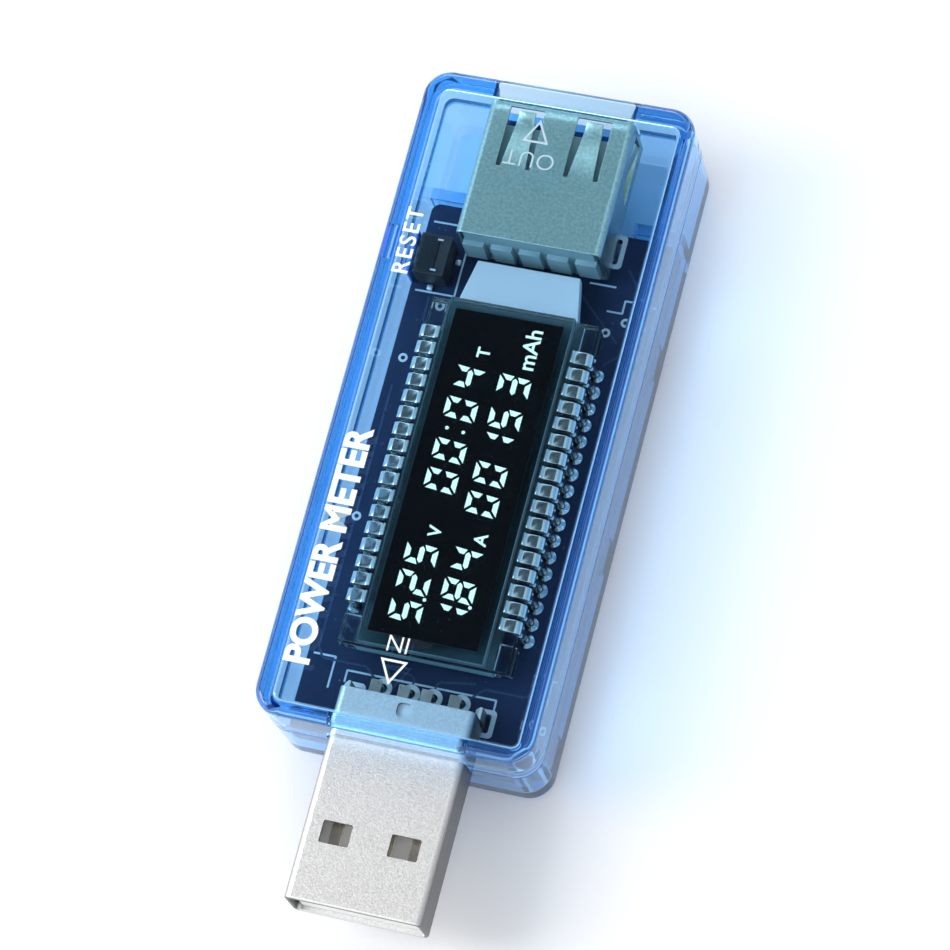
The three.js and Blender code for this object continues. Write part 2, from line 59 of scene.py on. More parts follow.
MOULDED_EDGE, PRESSED_EDGE, STRIP_EDGE, FINE_EDGE = 0.08, 0.06, 0.05, 0.03  # edge rounds, in millimetres
SHEET_ANGLE = 50  # edges of bent sheet sharper than this, in degrees, are rounded
CASE_SMOOTH, SHEET_SMOOTH = 30, 32  # faces that meet at less than this, in degrees, are shaded as one
Point2 = tuple[float, float]
Point3 = tuple[float, float, float]
Colour = tuple[float, float, float]
log = logging.getLogger("power_meter")


class Body(Enum):
    """The bodies of the frame that a piece can ride on."""

    HOUSING = "housing"
    RESET_KEY = "reset_key"


class Side(Enum):
    """The two long sides of the meter, seen with the receptacle at the top."""

    LEFT = -1
    RIGHT = 1


@dataclass(frozen=True)
class Span:
    """The box that some CAD nodes fill, in millimetres."""

    low: Vector
    high: Vector

    @classmethod
    def of(cls, *nodes: str) -> "Span":
        """Measures the box of the named nodes."""
        boxes = [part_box(node) for node in nodes]
        low = Vector(min(b[0][i] for b in boxes) for i in range(3)) / MM
        high = Vector(max(b[1][i] for b in boxes) for i in range(3)) / MM
        return cls(low, high)

    @property
    def centre(self) -> Vector:
        """Middle of the box."""
        return (self.low + self.high) / 2

    @property
    def size(self) -> Vector:
        """Length of each side of the box."""
        return self.high - self.low


# ---- Outlines and solids --------------------------------------------------------------------


def arc(centre: Point2, radius: float, start: float, end: float, steps: int) -> list[Point2]:
    """Points along an arc.

    Args:
        centre: the arc's centre.
        radius: its radius.
        start: first angle, in degrees.
        end: last angle, in degrees.
        steps: how many straight steps it has.

    Returns:
        The points, both ends included.
    """
    angles = [math.radians(start + (end - start) * i / steps) for i in range(steps + 1)]
    return [(centre[0] + radius * math.cos(a), centre[1] + radius * math.sin(a)) for a in angles]


def rounded_outline(half_x: float, half_y: float, radius: float, steps: int = 10) -> list[Point2]:
    """A rectangle with round corners about the origin, run counter-clockwise."""
    x, y = half_x - radius, half_y - radius
    corners = (((x, y), 0), ((-x, y), 90), ((-x, -y), 180), ((x, -y), 270))
    return [p for centre, start in corners for p in arc(centre, radius, start, start + 90, steps)]


class Blank:
    """A piece under way, in millimetres, until settle() hands it to the frame in metres."""

    def __init__(
        self, name: str, points: Iterable[Sequence[float]], faces: Iterable[Sequence[int]]
    ) -> None:
        """Makes the mesh, merges its doubles and turns its faces outwards."""
        mesh = bpy.data.meshes.new(name)
        mesh.from_pydata([tuple(p) for p in points], [], [tuple(f) for f in faces])
        self.obj = bpy.data.objects.new(name, mesh)
        bpy.context.scene.collection.objects.link(self.obj)
        self.edit(lambda bm: bmesh.ops.remove_doubles(bm, verts=bm.verts, dist=DOUBLES))
        self.edit(lambda bm: bmesh.ops.recalc_face_normals(bm, faces=bm.faces))

    @classmethod
    def from_node(cls, name: str, node: str) -> "Blank":
        """Copies a CAD node, joins its loose triangles and dissolves its flat faces."""
        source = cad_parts[node].data
        points = [v.co / MM for v in source.vertices]
        blank = cls(name, points, [p.vertices for p in source.polygons])
        return blank.edit(
            lambda bm: bmesh.ops.dissolve_limit(bm, angle_limit=FLAT_ANGLE, verts=bm.verts, edges=bm.edges)
        )

    def edit(self, change: Callable[[bmesh.types.BMesh], object]) -> "Blank":
        """Runs a change on the piece's mesh."""
        bm = bmesh.new()
        bm.from_mesh(self.obj.data)
        change(bm)
        bm.to_mesh(self.obj.data)
        bm.free()
        return self

    def move(self, x: float = 0, y: float = 0, z: float = 0, turn: float = 0) -> "Blank":
        """Turns the piece about the vertical through the origin, in degrees, then shifts it."""
        shift = Matrix.Translation((x, y, z))
        self.obj.data.transform(shift @ Matrix.Rotation(math.radians(turn), 4, "Z"))
        return self

    def apply(self) -> "Blank":
        """Takes the result of the piece's modifiers as its mesh, and removes them."""
        graph = bpy.context.evaluated_depsgraph_get()
        mesh = bpy.data.meshes.new_from_object(self.obj.evaluated_get(graph))
        self.obj.modifiers.clear()
        self.obj.data = mesh
        return self

    def boolean(self, other: "Blank", operation: str) -> "Blank":
        """Joins or cuts with another blank, which is used up."""
        modifier = self.obj.modifiers.new("boolean", "BOOLEAN")
        modifier.object, modifier.operation, modifier.solver = other.obj, operation, "EXACT"
        self.apply()
        bpy.data.objects.remove(other.obj)
        return self

    def cut(self, *others: "Blank") -> "Blank":
        """Cuts the other blanks out of the piece."""
        for other in others:
            self.boolean(other, "DIFFERENCE")
        return self

    def join(self, *others: "Blank") -> "Blank":
        """Makes one solid of the piece and the other blanks."""
        for other in others:
            self.boolean(other, "UNION")
        return self

    def gather(self, *others: "Blank") -> "Blank":
        """Adds other blanks to the mesh as separate shells."""
        bm = bmesh.new()
        for blank in (self, *others):
            bm.from_mesh(blank.obj.data)
        bm.to_mesh(self.obj.data)
        bm.free()
        for other in others:
            bpy.data.objects.remove(other.obj)
        return self

    def bevel(self, width: float, segments: int = 2, angle: float = 40) -> "Blank":
        """Rounds every edge sharper than an angle in degrees."""
        modifier = self.obj.modifiers.new("bevel", "BEVEL")
        modifier.width, modifier.segments = width, segments
        modifier.limit_method, modifier.angle_limit = "ANGLE", math.radians(angle)
        modifier.use_clamp_overlap = True
        return self.apply()

    def settle(
        self,
        material: bpy.types.Material,
        slot: str,
        body: Body = Body.HOUSING,
        replaces: Sequence[str] = (),
        smooth: float = 38,
    ) -> bpy.types.Object:
        """Turns the piece into metres, dresses it and gives it to the frame.

        Args:
            material: its material.
            slot: the record's material slot; not used.
            body: the CAD body it rides on.
            replaces: the CAD nodes it stands for.
            smooth: faces that meet at less than this angle, in degrees, are shaded as one.

        Returns:
            The settled object.
        """
        mesh = self.obj.data
        mesh.transform(Matrix.Scale(MM, 4))
        mesh.materials.clear()
        mesh.materials.append(material)
        mesh.polygons.foreach_set("material_index", [0] * len(mesh.polygons))
        mesh.shade_smooth()
        mesh.set_sharp_from_angle(angle=math.radians(smooth))
        weighted = self.obj.modifiers.new("weighted", "WEIGHTED_NORMAL")
        weighted.keep_sharp, weighted.weight = True, 100
        mesh = self.apply().obj.data
        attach(self.obj, body.value)
        if replaces:
            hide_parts(*replaces)
        log.info("%s: %d faces on %s", self.obj.name, len(mesh.polygons), body.value)
        return self.obj


def loft(name: str, rings: Sequence[Sequence[Point3]], caps: bool = True) -> Blank:
    """Skins rings of equally many points, one to the next.

    Args:
        name: the piece's name.
        rings: closed rings of points, in order.
        caps: closes the first and the last ring. Otherwise the last ring joins the first.

    Returns:
        The piece.
    """
    count = len(rings[0])
    points = [p for ring in rings for p in ring]
    spans = len(rings) - 1 if caps else len(rings)
    faces: list[Sequence[int]] = []
    for k in range(spans):
        low, high = k * count, (k + 1) % len(rings) * count
        faces += [(low + i, low + (i + 1) % count, high + (i + 1) % count, high + i) for i in range(count)]
    if caps:
        faces.append(range(count))
        faces.append(range(len(points) - count, len(points)))
    return Blank(name, points, faces)


def slab(name: str, outline: Sequence[Point2], low: float, high: float) -> Blank:
    """A plan outline raised between two levels."""
    return loft(name, [[(x, y, z) for x, y in outline] for z in (low, high)])


def block(name: str, low: Sequence[float], high: Sequence[float]) -> Blank:
    """A box between two corners."""
    outline = [(low[0], low[1]), (high[0], low[1]), (high[0], high[1]), (low[0], high[1])]
    return slab(name, outline, low[2], high[2])


def bar(name: str, outline: Sequence[Point2], start: float, end: float) -> Blank:
    """An outline in X and Z run along Y."""
    return loft(name, [[(x, y, z) for x, z in outline] for y in (start, end)])


def turned(name: str, profile: Sequence[Point2], segments: int = 20) -> Blank:
    """A profile of radius and height turned about the vertical through the origin."""
    angles = [math.tau * i / segments for i in range(segments)]
    rings = [[(r * math.cos(a), r * math.sin(a), z) for a in angles] for r, z in profile]
    return loft(name, rings)


def frame_plate(
    name: str, outer: Sequence[Point2], inner: Sequence[Point2], low: float, high: float
) -> Blank:
    """A flat frame between two plan outlines of equally many points, between two levels."""
    levels = ((outer, low), (outer, high), (inner, high), (inner, low))
    return loft(name, [[(x, y, z) for x, y in points] for points, z in levels], caps=False)


def strip(name: str, path: Sequence[Point2], widths: Sequence[float], thickness: float) -> Blank:
    """A bent strip of sheet metal, drawn by its middle line in Y and Z.

    Args:
        name: the piece's name.
        path: the middle line's points, as places along Y and heights.
        widths: the strip's width at each point.
        thickness: the sheet's thickness.

    Returns:
        The strip, centred on X.
    """
    rings = []
    for i, (y, z) in enumerate(path):
        before, after = path[max(i - 1, 0)], path[min(i + 1, len(path) - 1)]
        along = Vector((after[0] - before[0], after[1] - before[1])).normalized()
        across = Vector((-along.y, along.x)) * thickness / 2
        half = widths[i] / 2
        corners = ((-half, -1), (half, -1), (half, 1), (-half, 1))
        rings.append([(x, y + across.x * s, z + across.y * s) for x, s in corners])
    return loft(name, rings)


def lettering(
    name: str, words: str, height: float, weight: float, depth: float, spacing: float = 1
) -> Blank:
    """Words as thin solid letters about the origin, lying in the XY plane.

    Args:
        name: the piece's name.
        words: what they say.
        height: the height of a capital.
        weight: how much each stroke is thickened on each side.
        depth: the letters' thickness.
        spacing: how far apart the letters stand, against the face's own spacing.

    Returns:
        The letters, from z 0 up to the depth.
    """
    curve = bpy.data.curves.new(name, "FONT")
    curve.body, curve.size = words, height / CAPITAL
    curve.offset, curve.extrude = weight, depth / 2
    curve.align_x, curve.align_y = "CENTER", "CENTER"
    curve.space_character = spacing
    curve.resolution_u = 6
    source = bpy.data.objects.new(name, curve)
    bpy.context.scene.collection.objects.link(source)
    graph = bpy.context.evaluated_depsgraph_get()
    mesh = bpy.data.meshes.new_from_object(source.evaluated_get(graph))
    points = [v.co + Vector((0, 0, depth / 2)) for v in mesh.vertices]
    blank = Blank(name, points, [p.vertices for p in mesh.polygons])
    bpy.data.objects.remove(source)
    return blank


# ---- Geometry node trees --------------------------------------------------------------------


class Nodes:
    """A node tree under construction."""

    def __init__(self, tree: bpy.types.NodeTree) -> None:
        """Starts from an empty tree."""
        self.tree = tree
        tree.nodes.clear()

    def add(self, kind: str, links: dict | None = None, **settings: object) -> bpy.types.Node:
        """Adds a node.

        Args:
            kind: the node's type.
            links: what feeds each input, by name or number: either an output socket or a value.
            settings: the node's own properties.

        Returns:
            The node.
        """
        node = self.tree.nodes.new(kind)
        for label, value in settings.items():
            setattr(node, label, value)
        for label, value in (links or {}).items():
            if isinstance(value, bpy.types.NodeSocket):
                self.tree.links.new(value, node.inputs[label])
            else:
                node.inputs[label].default_value = value
        return node

    def math(self, operation: str, first: object, second: object) -> bpy.types.NodeSocket:
        """Works out one sum on two values."""
        return self.add("ShaderNodeMath", {0: first, 1: second}, operation=operation).outputs[0]


class Tree(Nodes):
    """A geometry node tree, with named inputs."""

    def __init__(self, name: str, inputs: Sequence[tuple[str, str]]) -> None:
        """Makes the tree with a geometry in and out, and the named inputs after it."""
        super().__init__(bpy.data.node_groups.new(name, "GeometryNodeTree"))
        face = self.tree.interface
        face.new_socket(name="Geometry", in_out="INPUT", socket_type="NodeSocketGeometry")
        for label, kind in inputs:
            face.new_socket(name=label, in_out="INPUT", socket_type=kind)
        face.new_socket(name="Geometry", in_out="OUTPUT", socket_type="NodeSocketGeometry")
        self.source = self.tree.nodes.new("NodeGroupInput").outputs
        self.result = self.tree.nodes.new("NodeGroupOutput").inputs

    def finish(self, geometry: bpy.types.NodeSocket) -> bpy.types.NodeTree:
        """Ends the tree by realizing its instances and setting their material."""
        real = self.add("GeometryNodeRealizeInstances", {"Geometry": geometry})
        links = {"Geometry": real.outputs["Geometry"], "Material": self.source["Material"]}
        dressed = self.add("GeometryNodeSetMaterial", links)
        self.tree.links.new(dressed.outputs["Geometry"], self.result["Geometry"])
        return self.tree


def row_tree() -> bpy.types.NodeTree:
    """Repeats a mesh along a straight row, each copy turned and sized a little by chance."""
    inputs = [
        ("Count", "NodeSocketInt"),
        ("Step", "NodeSocketVector"),
        ("Turn", "NodeSocketFloat"),
        ("Spread", "NodeSocketFloat"),
        ("Seed", "NodeSocketInt"),
        ("Material", "NodeSocketMaterial"),
    ]
    tree = Tree("row_of_copies", inputs)
    source = tree.source
    links = {"Count": source["Count"], "Offset": source["Step"]}
    line = tree.add("GeometryNodeMeshLine", links, mode="OFFSET")
    back = tree.math("MULTIPLY", source["Turn"], -1.0)
    least = tree.math("SUBTRACT", 1.0, source["Spread"])
    most = tree.math("ADD", 1.0, source["Spread"])
    chance = [
        tree.add("FunctionNodeRandomValue", {2: low, 3: high, "Seed": source["Seed"]}, data_type="FLOAT")
        for low, high in ((back, source["Turn"]), (least, most))
    ]
    turn, size = (node.outputs[1] for node in chance)
    links = {
        "Points": line.outputs["Mesh"],
        "Instance": source["Geometry"],
        "Rotation": tree.add("ShaderNodeCombineXYZ", {"Z": turn}).outputs["Vector"],
        "Scale": size,
    }
    copies = tree.add("GeometryNodeInstanceOnPoints", links)
    return tree.finish(copies.outputs["Instances"])


def track_tree() -> bpy.types.NodeTree:
    """Lays a flat ribbon along a mesh's edges, with its corners rounded."""
    inputs = [
        ("Width", "NodeSocketFloat"),
        ("Height", "NodeSocketFloat"),
        ("Corner", "NodeSocketFloat"),
        ("Material", "NodeSocketMaterial"),
    ]
    tree = Tree("laid_track", inputs)
    source = tree.source
    line = tree.add("GeometryNodeMeshToCurve", {"Mesh": source["Geometry"]})
    links = {"Curve": line.outputs["Curve"], "Count": 5, "Radius": source["Corner"], "Limit Radius": True}
    smooth = tree.add("GeometryNodeFilletCurve", links, mode="POLY")
    links = {"Width": source["Width"], "Height": source["Height"]}
    section = tree.add("GeometryNodeCurvePrimitiveQuadrilateral", links, mode="RECTANGLE")
    links = {"Curve": smooth.outputs["Curve"], "Profile Curve": section.outputs["Curve"], "Fill Caps": True}
    return tree.finish(tree.add("GeometryNodeCurveToMesh", links).outputs["Mesh"])


ROW, TRACK = row_tree(), track_tree()


def run_tree(blank: Blank, tree: bpy.types.NodeTree, values: dict[str, object]) -> Blank:
    """Runs a geometry node tree on a blank and keeps the plain mesh it makes.

    Args:
        blank: the piece that is the tree's geometry.
        tree: the tree.
        values: a value for each named input.

    Returns:
        The same blank with the result as its mesh.
    """
    modifier = blank.obj.modifiers.new("tree", "NODES")
    modifier.node_group = tree
    for item in tree.interface.items_tree:
        if item.item_type == "SOCKET" and item.in_out == "INPUT" and item.name in values:
            modifier[item.identifier] = values[item.name]
    return blank.apply()


def row(
    blank: Blank,
    count: int,
    step: Point3,
    material: bpy.types.Material,
    turn: float = 0,
    spread: float = 0,
    seed: int = 1,
) -> Blank:
    """Repeats a blank along a row. Turn is in degrees and spread is a share of its size."""
    values = {"Count": count, "Step": step, "Turn": math.radians(turn), "Spread": spread}
    return run_tree(blank, ROW, values | {"Seed": seed, "Material": material})


def tracks(
    name: str,
    routes: Sequence[Sequence[Point2]],
    level: float,
    width: float,
    height: float,
    corner: float,
    material: bpy.types.Material,
) -> Blank:
    """Lays ribbons on a level plane.

    Args:
        name: the piece's name.
        routes: the points of each ribbon's middle line.
        level: the height that they lie on.
        width: a ribbon's width.
        height: its thickness.
        corner: the radius of its corners.
        material: its material.

    Returns:
        All the ribbons as one piece.
    """
    mesh = bpy.data.meshes.new(name)
    points = [(x, y, level + height / 2) for route in routes for x, y in route]
    edges, first = [], 0
    for route in routes:
        edges += [(first + i, first + i + 1) for i in range(len(route) - 1)]
        first += len(route)
    mesh.from_pydata(points, edges, [])
    blank = Blank(name, [], [])
    blank.obj.data = mesh
    values = {"Width": width, "Height": height, "Corner": corner, "Material": material}
    return run_tree(blank, TRACK, values)


# ---- Shader groups and finishes -------------------------------------------------------------

# thresholds of the side-face mask that places painted shade and painted glow
UPRIGHT, LEVEL = 0.35, 0.95  # how far a face looks up or down, from 0 to 1, where it counts as either
DUST: Colour = (0.75, 0.77, 0.8)
COAT_ROUGHNESS = 0.06


class Shader(Nodes):
    """A shader tree, of a material or of a group."""

    def mask(self, value: bpy.types.NodeSocket, low: float, high: float) -> bpy.types.NodeSocket:
        """Turns a value into a smooth mask that is 0 below low and 1 above high."""
        links = {"Value": value, "From Min": low, "From Max": high}
        node = self.add("ShaderNodeMapRange", links, interpolation_type="SMOOTHSTEP")
        return node.outputs["Result"]

    def mix(self, mask: bpy.types.NodeSocket, first: object, second: object) -> bpy.types.NodeSocket:
        """Mixes two colours, or a colour socket and a colour, by a mask."""
        node = self.add("ShaderNodeMix", {0: mask}, data_type="RGBA")
        for index, value in ((6, first), (7, second)):
            if isinstance(value, bpy.types.NodeSocket):
                self.tree.links.new(value, node.inputs[index])
            else:
                node.inputs[index].default_value = (*value, 1)
        return node.outputs[2]

    def flat(self) -> bpy.types.NodeSocket:
        """A mask that is 1 on level faces and 0 on steep ones, where painted shade and painted glow go."""
        facing = self.add("ShaderNodeNewGeometry").outputs["True Normal"]
        lift = self.add("ShaderNodeSeparateXYZ", {"Vector": facing}).outputs["Z"]
        return self.mask(self.math("ABSOLUTE", lift, 0.0), UPRIGHT, LEVEL)


def shader_group(
    name: str, inputs: Sequence[tuple[str, float]], outputs: Sequence[str]
) -> tuple[Shader, bpy.types.NodeOutputs, bpy.types.NodeInputs]:
    """Makes an empty shader node group of plain numbers.

    Args:
        name: the group's name.
        inputs: each input's name and default.
        outputs: each output's name.

    Returns:
        The group's tree, its input values, and its output sockets.
    """
    tree = bpy.data.node_groups.new(name, "ShaderNodeTree")
    for label, value in inputs:
        socket = tree.interface.new_socket(name=label, in_out="INPUT", socket_type="NodeSocketFloat")
        socket.default_value = value
    for label in outputs:
        tree.interface.new_socket(name=label, in_out="OUTPUT", socket_type="NodeSocketFloat")
    shader = Shader(tree)
    source, result = shader.add("NodeGroupInput"), shader.add("NodeGroupOutput")
    return shader, source.outputs, result.inputs


def grain_group() -> bpy.types.NodeTree:
    """Fine surface grain at two sizes, as a height, a shift about zero and a slow mottle."""
    shader, source, result = shader_group(
        "surface_grain", [("Scale", 4000), ("Patch", 160)], ["Height", "Shift", "Mottle"]
    )
    place = shader.add("ShaderNodeTexCoord").outputs["Object"]
    fine = shader.add("ShaderNodeTexNoise", {"Vector": place, "Scale": source["Scale"], "Detail": 3.0})
    wide = shader.add("ShaderNodeTexNoise", {"Vector": place, "Scale": source["Patch"], "Detail": 2.0})
    shader.tree.links.new(fine.outputs[0], result["Height"])
    shader.tree.links.new(shader.math("SUBTRACT", fine.outputs[0], 0.5), result["Shift"])
    shader.tree.links.new(shader.mask(wide.outputs[0], 0.3, 0.7), result["Mottle"])
    return shader.tree


def wear_group() -> bpy.types.NodeTree:
    """Fine scratches along Y and specks of dust, as masks."""
    shader, source, result = shader_group(
        "wear_and_dust", [("Dust scale", 1500), ("Dust amount", 0.3)], ["Scratch", "Dust"]
    )
    place = shader.add("ShaderNodeTexCoord").outputs["Object"]
    drawn = shader.add("ShaderNodeMapping", {"Vector": place, "Scale": (9000, 260, 9000)})
    lines = shader.add("ShaderNodeTexNoise", {"Vector": drawn.outputs[0], "Scale": 1.0, "Detail": 2.0})
    shader.tree.links.new(shader.mask(lines.outputs[0], 0.62, 0.72), result["Scratch"])
    cells = shader.add("ShaderNodeTexVoronoi", {"Vector": place, "Scale": source["Dust scale"]})
    clumps = shader.add("ShaderNodeTexNoise", {"Vector": place, "Scale": 300.0})
    specks = shader.math("SUBTRACT", 1.0, shader.mask(cells.outputs["Distance"], 0.08, 0.16))
    chosen = shader.mask(clumps.outputs[0], 0.5, 0.7)
    dust = shader.math("MULTIPLY", shader.math("MULTIPLY", specks, chosen), source["Dust amount"])
    shader.tree.links.new(dust, result["Dust"])
    return shader.tree


GRAIN, WEAR = grain_group(), wear_group()


@dataclass(frozen=True)
class Finish:
    """An opaque finish: a colour with mottle, grain, scratches and dust, and painted shade on side faces
    where set.
    """

    name: str
    colour: Colour
    shade: Colour  # what the colour drifts to in patches
    roughness: float
    metallic: float = 0.0
    grain: float = 4000  # grain features per metre
    patch: float = 160  # mottle features per metre
    relief: float = 0.002  # the grain's height, in millimetres
    spread: float = 0.15  # how far the grain moves the roughness
    scratches: float = 0.0  # how much fine scratches roughen it
    dust: float = 0.1
    coat: float = 0.0
    glow: float = 0.0
    specular: float = 0.5
    painted_upright_shade: Colour | None = None  # painted shade: a darker colour put on side faces

    def material(self) -> bpy.types.Material:
        """Builds the finish's material once."""
        if self.name in bpy.data.materials:
            return bpy.data.materials[self.name]
        material = bpy.data.materials.new(self.name)
        material.use_nodes = True
        shader = Shader(material.node_tree)
        grain = shader.add("ShaderNodeGroup", node_tree=GRAIN)
        grain.inputs["Scale"].default_value = self.grain
        grain.inputs["Patch"].default_value = self.patch
        wear = shader.add("ShaderNodeGroup", node_tree=WEAR)
        wear.inputs["Dust amount"].default_value = self.dust
        colour = shader.mix(grain.outputs["Mottle"], self.colour, self.shade)
        # painted shade: side faces take a darker colour
        if self.painted_upright_shade:
            colour = shader.mix(shader.flat(), self.painted_upright_shade, colour)
        colour = shader.mix(wear.outputs["Dust"], colour, DUST)
        drift = shader.math("MULTIPLY", grain.outputs["Shift"], self.spread)
        rough = shader.math("ADD", drift, self.roughness)
        scratched = shader.math("MULTIPLY", wear.outputs["Scratch"], self.scratches)
        relief = {"Height": grain.outputs["Height"], "Distance": self.relief * MM}
        bump = shader.add("ShaderNodeBump", relief)
        links = {
            "Base Color": colour,
            "Roughness": shader.math("ADD", rough, scratched),
            "Normal": bump.outputs["Normal"],
            "Metallic": self.metallic,
            "Coat Weight": self.coat,
            "Coat Roughness": COAT_ROUGHNESS,
            "Specular IOR Level": self.specular,
        }
        # glow gives off light: the backlight through the lit segments, and painted glow on the white ink
        if self.glow:
            links |= {"Emission Color": colour, "Emission Strength": self.glow}
        surface = shader.add("ShaderNodeBsdfPrincipled", links)
        shader.add("ShaderNodeOutputMaterial", {"Surface": surface.outputs[0]})
        return material


@dataclass(frozen=True)
class ClearFinish:
    """A clear finish, tinted by how far light runs through it, with painted shade and painted glow on side
    faces where set.
    """

    name: str
    tint: Colour  # what is left of light after one tint depth
    depth: float  # the tint depth, in millimetres
    shadow: Colour  # what one surface lets through of light that casts its shadow
    skin: Colour = (1.0, 1.0, 1.0)  # what is left of light after one plate, whatever its thickness
    ior: float = 1.57
    roughness: float = 0.02
    ripple: float = 0.0008  # height of the moulded skin's ripple, in millimetres
    waves: float = 500  # ripples per metre
    dust: float = 0.25
    smear: float = 0.02  # how much fine scratches roughen it
    painted_side_tint: Colour | None = None  # painted shade: a deeper tint on side faces than the skin
    painted_edge_glow: Colour = (0.0, 0.0, 0.0)  # painted glow: light given off by side faces

    def material(self) -> bpy.types.Material:
        """Builds the finish's material once."""
        if self.name in bpy.data.materials:
            return bpy.data.materials[self.name]
        material = bpy.data.materials.new(self.name)
        material.use_nodes = True
        shader = Shader(material.node_tree)
        grain = shader.add("ShaderNodeGroup", node_tree=GRAIN)
        grain.inputs["Scale"].default_value = self.waves
        wear = shader.add("ShaderNodeGroup", node_tree=WEAR)
        wear.inputs["Dust amount"].default_value = self.dust
        smear = shader.math("MULTIPLY", wear.outputs["Scratch"], self.smear)
        rough = shader.math("ADD", shader.math("ADD", smear, wear.outputs["Dust"]), self.roughness)
        relief = {"Height": grain.outputs["Height"], "Distance": self.ripple * MM}
        bump = shader.add("ShaderNodeBump", relief)
        links = {
            "Base Color": (*self.skin, 1),
            "Roughness": rough,
            "IOR": self.ior,
            "Transmission Weight": 1.0,
            "Normal": bump.outputs["Normal"],
        }
        # painted shade and painted glow: side faces take a deeper tint and give off faint blue light
        if self.painted_side_tint:
            level = shader.flat()
            links["Base Color"] = shader.mix(level, self.painted_side_tint, self.skin)
            links["Emission Color"] = shader.mix(level, self.painted_edge_glow, (0, 0, 0))
            links["Emission Strength"] = 1.0
        body = shader.add("ShaderNodeBsdfPrincipled", links)
        passing = shader.add("ShaderNodeBsdfTransparent", {"Color": (*self.shadow, 1)})
        shadow_ray = shader.add("ShaderNodeLightPath").outputs["Is Shadow Ray"]
        links = {0: shadow_ray, 1: body.outputs[0], 2: passing.outputs[0]}
        surface = shader.add("ShaderNodeMixShader", links)
        loss = -math.log(min(self.tint))
        links = {
            "Color": (*(1 + math.log(c) / loss for c in self.tint), 1),
            "Density": loss / (self.depth * MM),
        }
        volume = shader.add("ShaderNodeVolumeAbsorption", links)
        links = {"Surface": surface.outputs[0], "Volume": volume.outputs[0]}
        shader.add("ShaderNodeOutputMaterial", links)
        return material


BLUE_CASE_PAINTED_SIDES = ClearFinish(
    "clear_blue_case",
    tint=(0.63, 0.83, 0.985),
    depth=2.9,
    shadow=(0.86, 0.945, 0.998),
    skin=(0.87, 0.95, 1.0),
    # painted shade and painted glow on the case's side faces
    painted_side_tint=(0.64, 0.84, 1.0),
    painted_edge_glow=(0.005, 0.022, 0.05),
    roughness=0.015,
)
DISPLAY_GLASS = ClearFinish(
    "clear_soda_glass",
    tint=(0.55, 0.86, 0.8),
    depth=11,
    shadow=(0.97, 0.99, 0.99),
    ior=1.5,
    ripple=0.0002,
)
BUTTON = Finish("button_blue", (0.09, 0.26, 0.72), (0.07, 0.22, 0.66), 0.22, relief=0.0006, coat=0.2)
# painted glow: the white printing gives off a little light
WHITE_INK_PAINTED_GLOW = Finish("white_ink_painted_glow", (0.86, 0.93, 0.97), (0.8, 0.9, 0.95), 0.5, relief=0.0008, glow=0.12)
FAINT_INK = Finish("faint_ink", (0.5, 0.66, 0.74), (0.42, 0.6, 0.7), 0.5, relief=0.0008)
MASK = Finish(
    "navy_solder_mask",
    (0.012, 0.024, 0.062),
    (0.016, 0.03, 0.075),
    0.4,
    grain=1800,
    relief=0.001,
    dust=0.25,
    specular=0.25,
)
MASK_TRACK = Finish("solder_mask_over_copper", (0.024, 0.048, 0.11), (0.03, 0.055, 0.12), 0.3, grain=1800)
BOARD_INK = Finish("board_ink", (0.62, 0.72, 0.78), (0.5, 0.62, 0.7), 0.6, grain=6000)
TIN = Finish(
    "bright_tin", (0.86, 0.92, 0.88), (0.78, 0.86, 0.82), 0.19, 1.0, grain=2500, relief=0.003, spread=0.1
)
SOLDER = Finish(
    "solder", (0.55, 0.61, 0.62), (0.38, 0.44, 0.46), 0.16, 1.0, grain=1600, relief=0.02, spread=0.3
)
PLUG_NICKEL_PAINTED_SHADE = Finish(
    "satin_nickel",
    (0.97, 0.968, 0.962),
    (0.83, 0.828, 0.822),
    0.42,
    1.0,
    grain=6500,
    patch=5500,
    relief=0.021,
    spread=0.25,
    scratches=0.05,
    # painted shade: the plug's side faces are coloured dark
    painted_upright_shade=(0.22, 0.22, 0.22),
)
SOCKET_NICKEL_PAINTED_SHADE = Finish(
    "drawn_nickel",
    (0.83, 0.96, 0.83),
    (0.62, 0.77, 0.64),
    0.34,
    1.0,
    grain=5500,
    patch=3600,
    relief=0.012,
    scratches=0.05,
    # painted shade: the receptacle's side faces are coloured darker
    painted_upright_shade=(0.4, 0.47, 0.46),
)
GOLD = Finish("gold_flash", (0.85, 0.81, 0.71), (0.79, 0.75, 0.65), 0.3, 1.0, scratches=0.1)
PLATED = Finish("bright_plating", (0.86, 0.88, 0.87), (0.76, 0.8, 0.8), 0.5, 1.0, relief=0.004)
WHITE_PLASTIC = Finish("white_insulator", (0.9, 0.9, 0.89), (0.86, 0.87, 0.86), 0.42, relief=0.003)
TEAL_PLASTIC = Finish("socket_insulator", (0.36, 0.47, 0.46), (0.3, 0.42, 0.42), 0.4, relief=0.003)
DIFFUSER = Finish("milky_diffuser", (0.8, 0.82, 0.83), (0.76, 0.79, 0.81), 0.38)
GROUND_EDGE = Finish("ground_edge", (0.26, 0.4, 0.42), (0.2, 0.33, 0.36), 0.5)
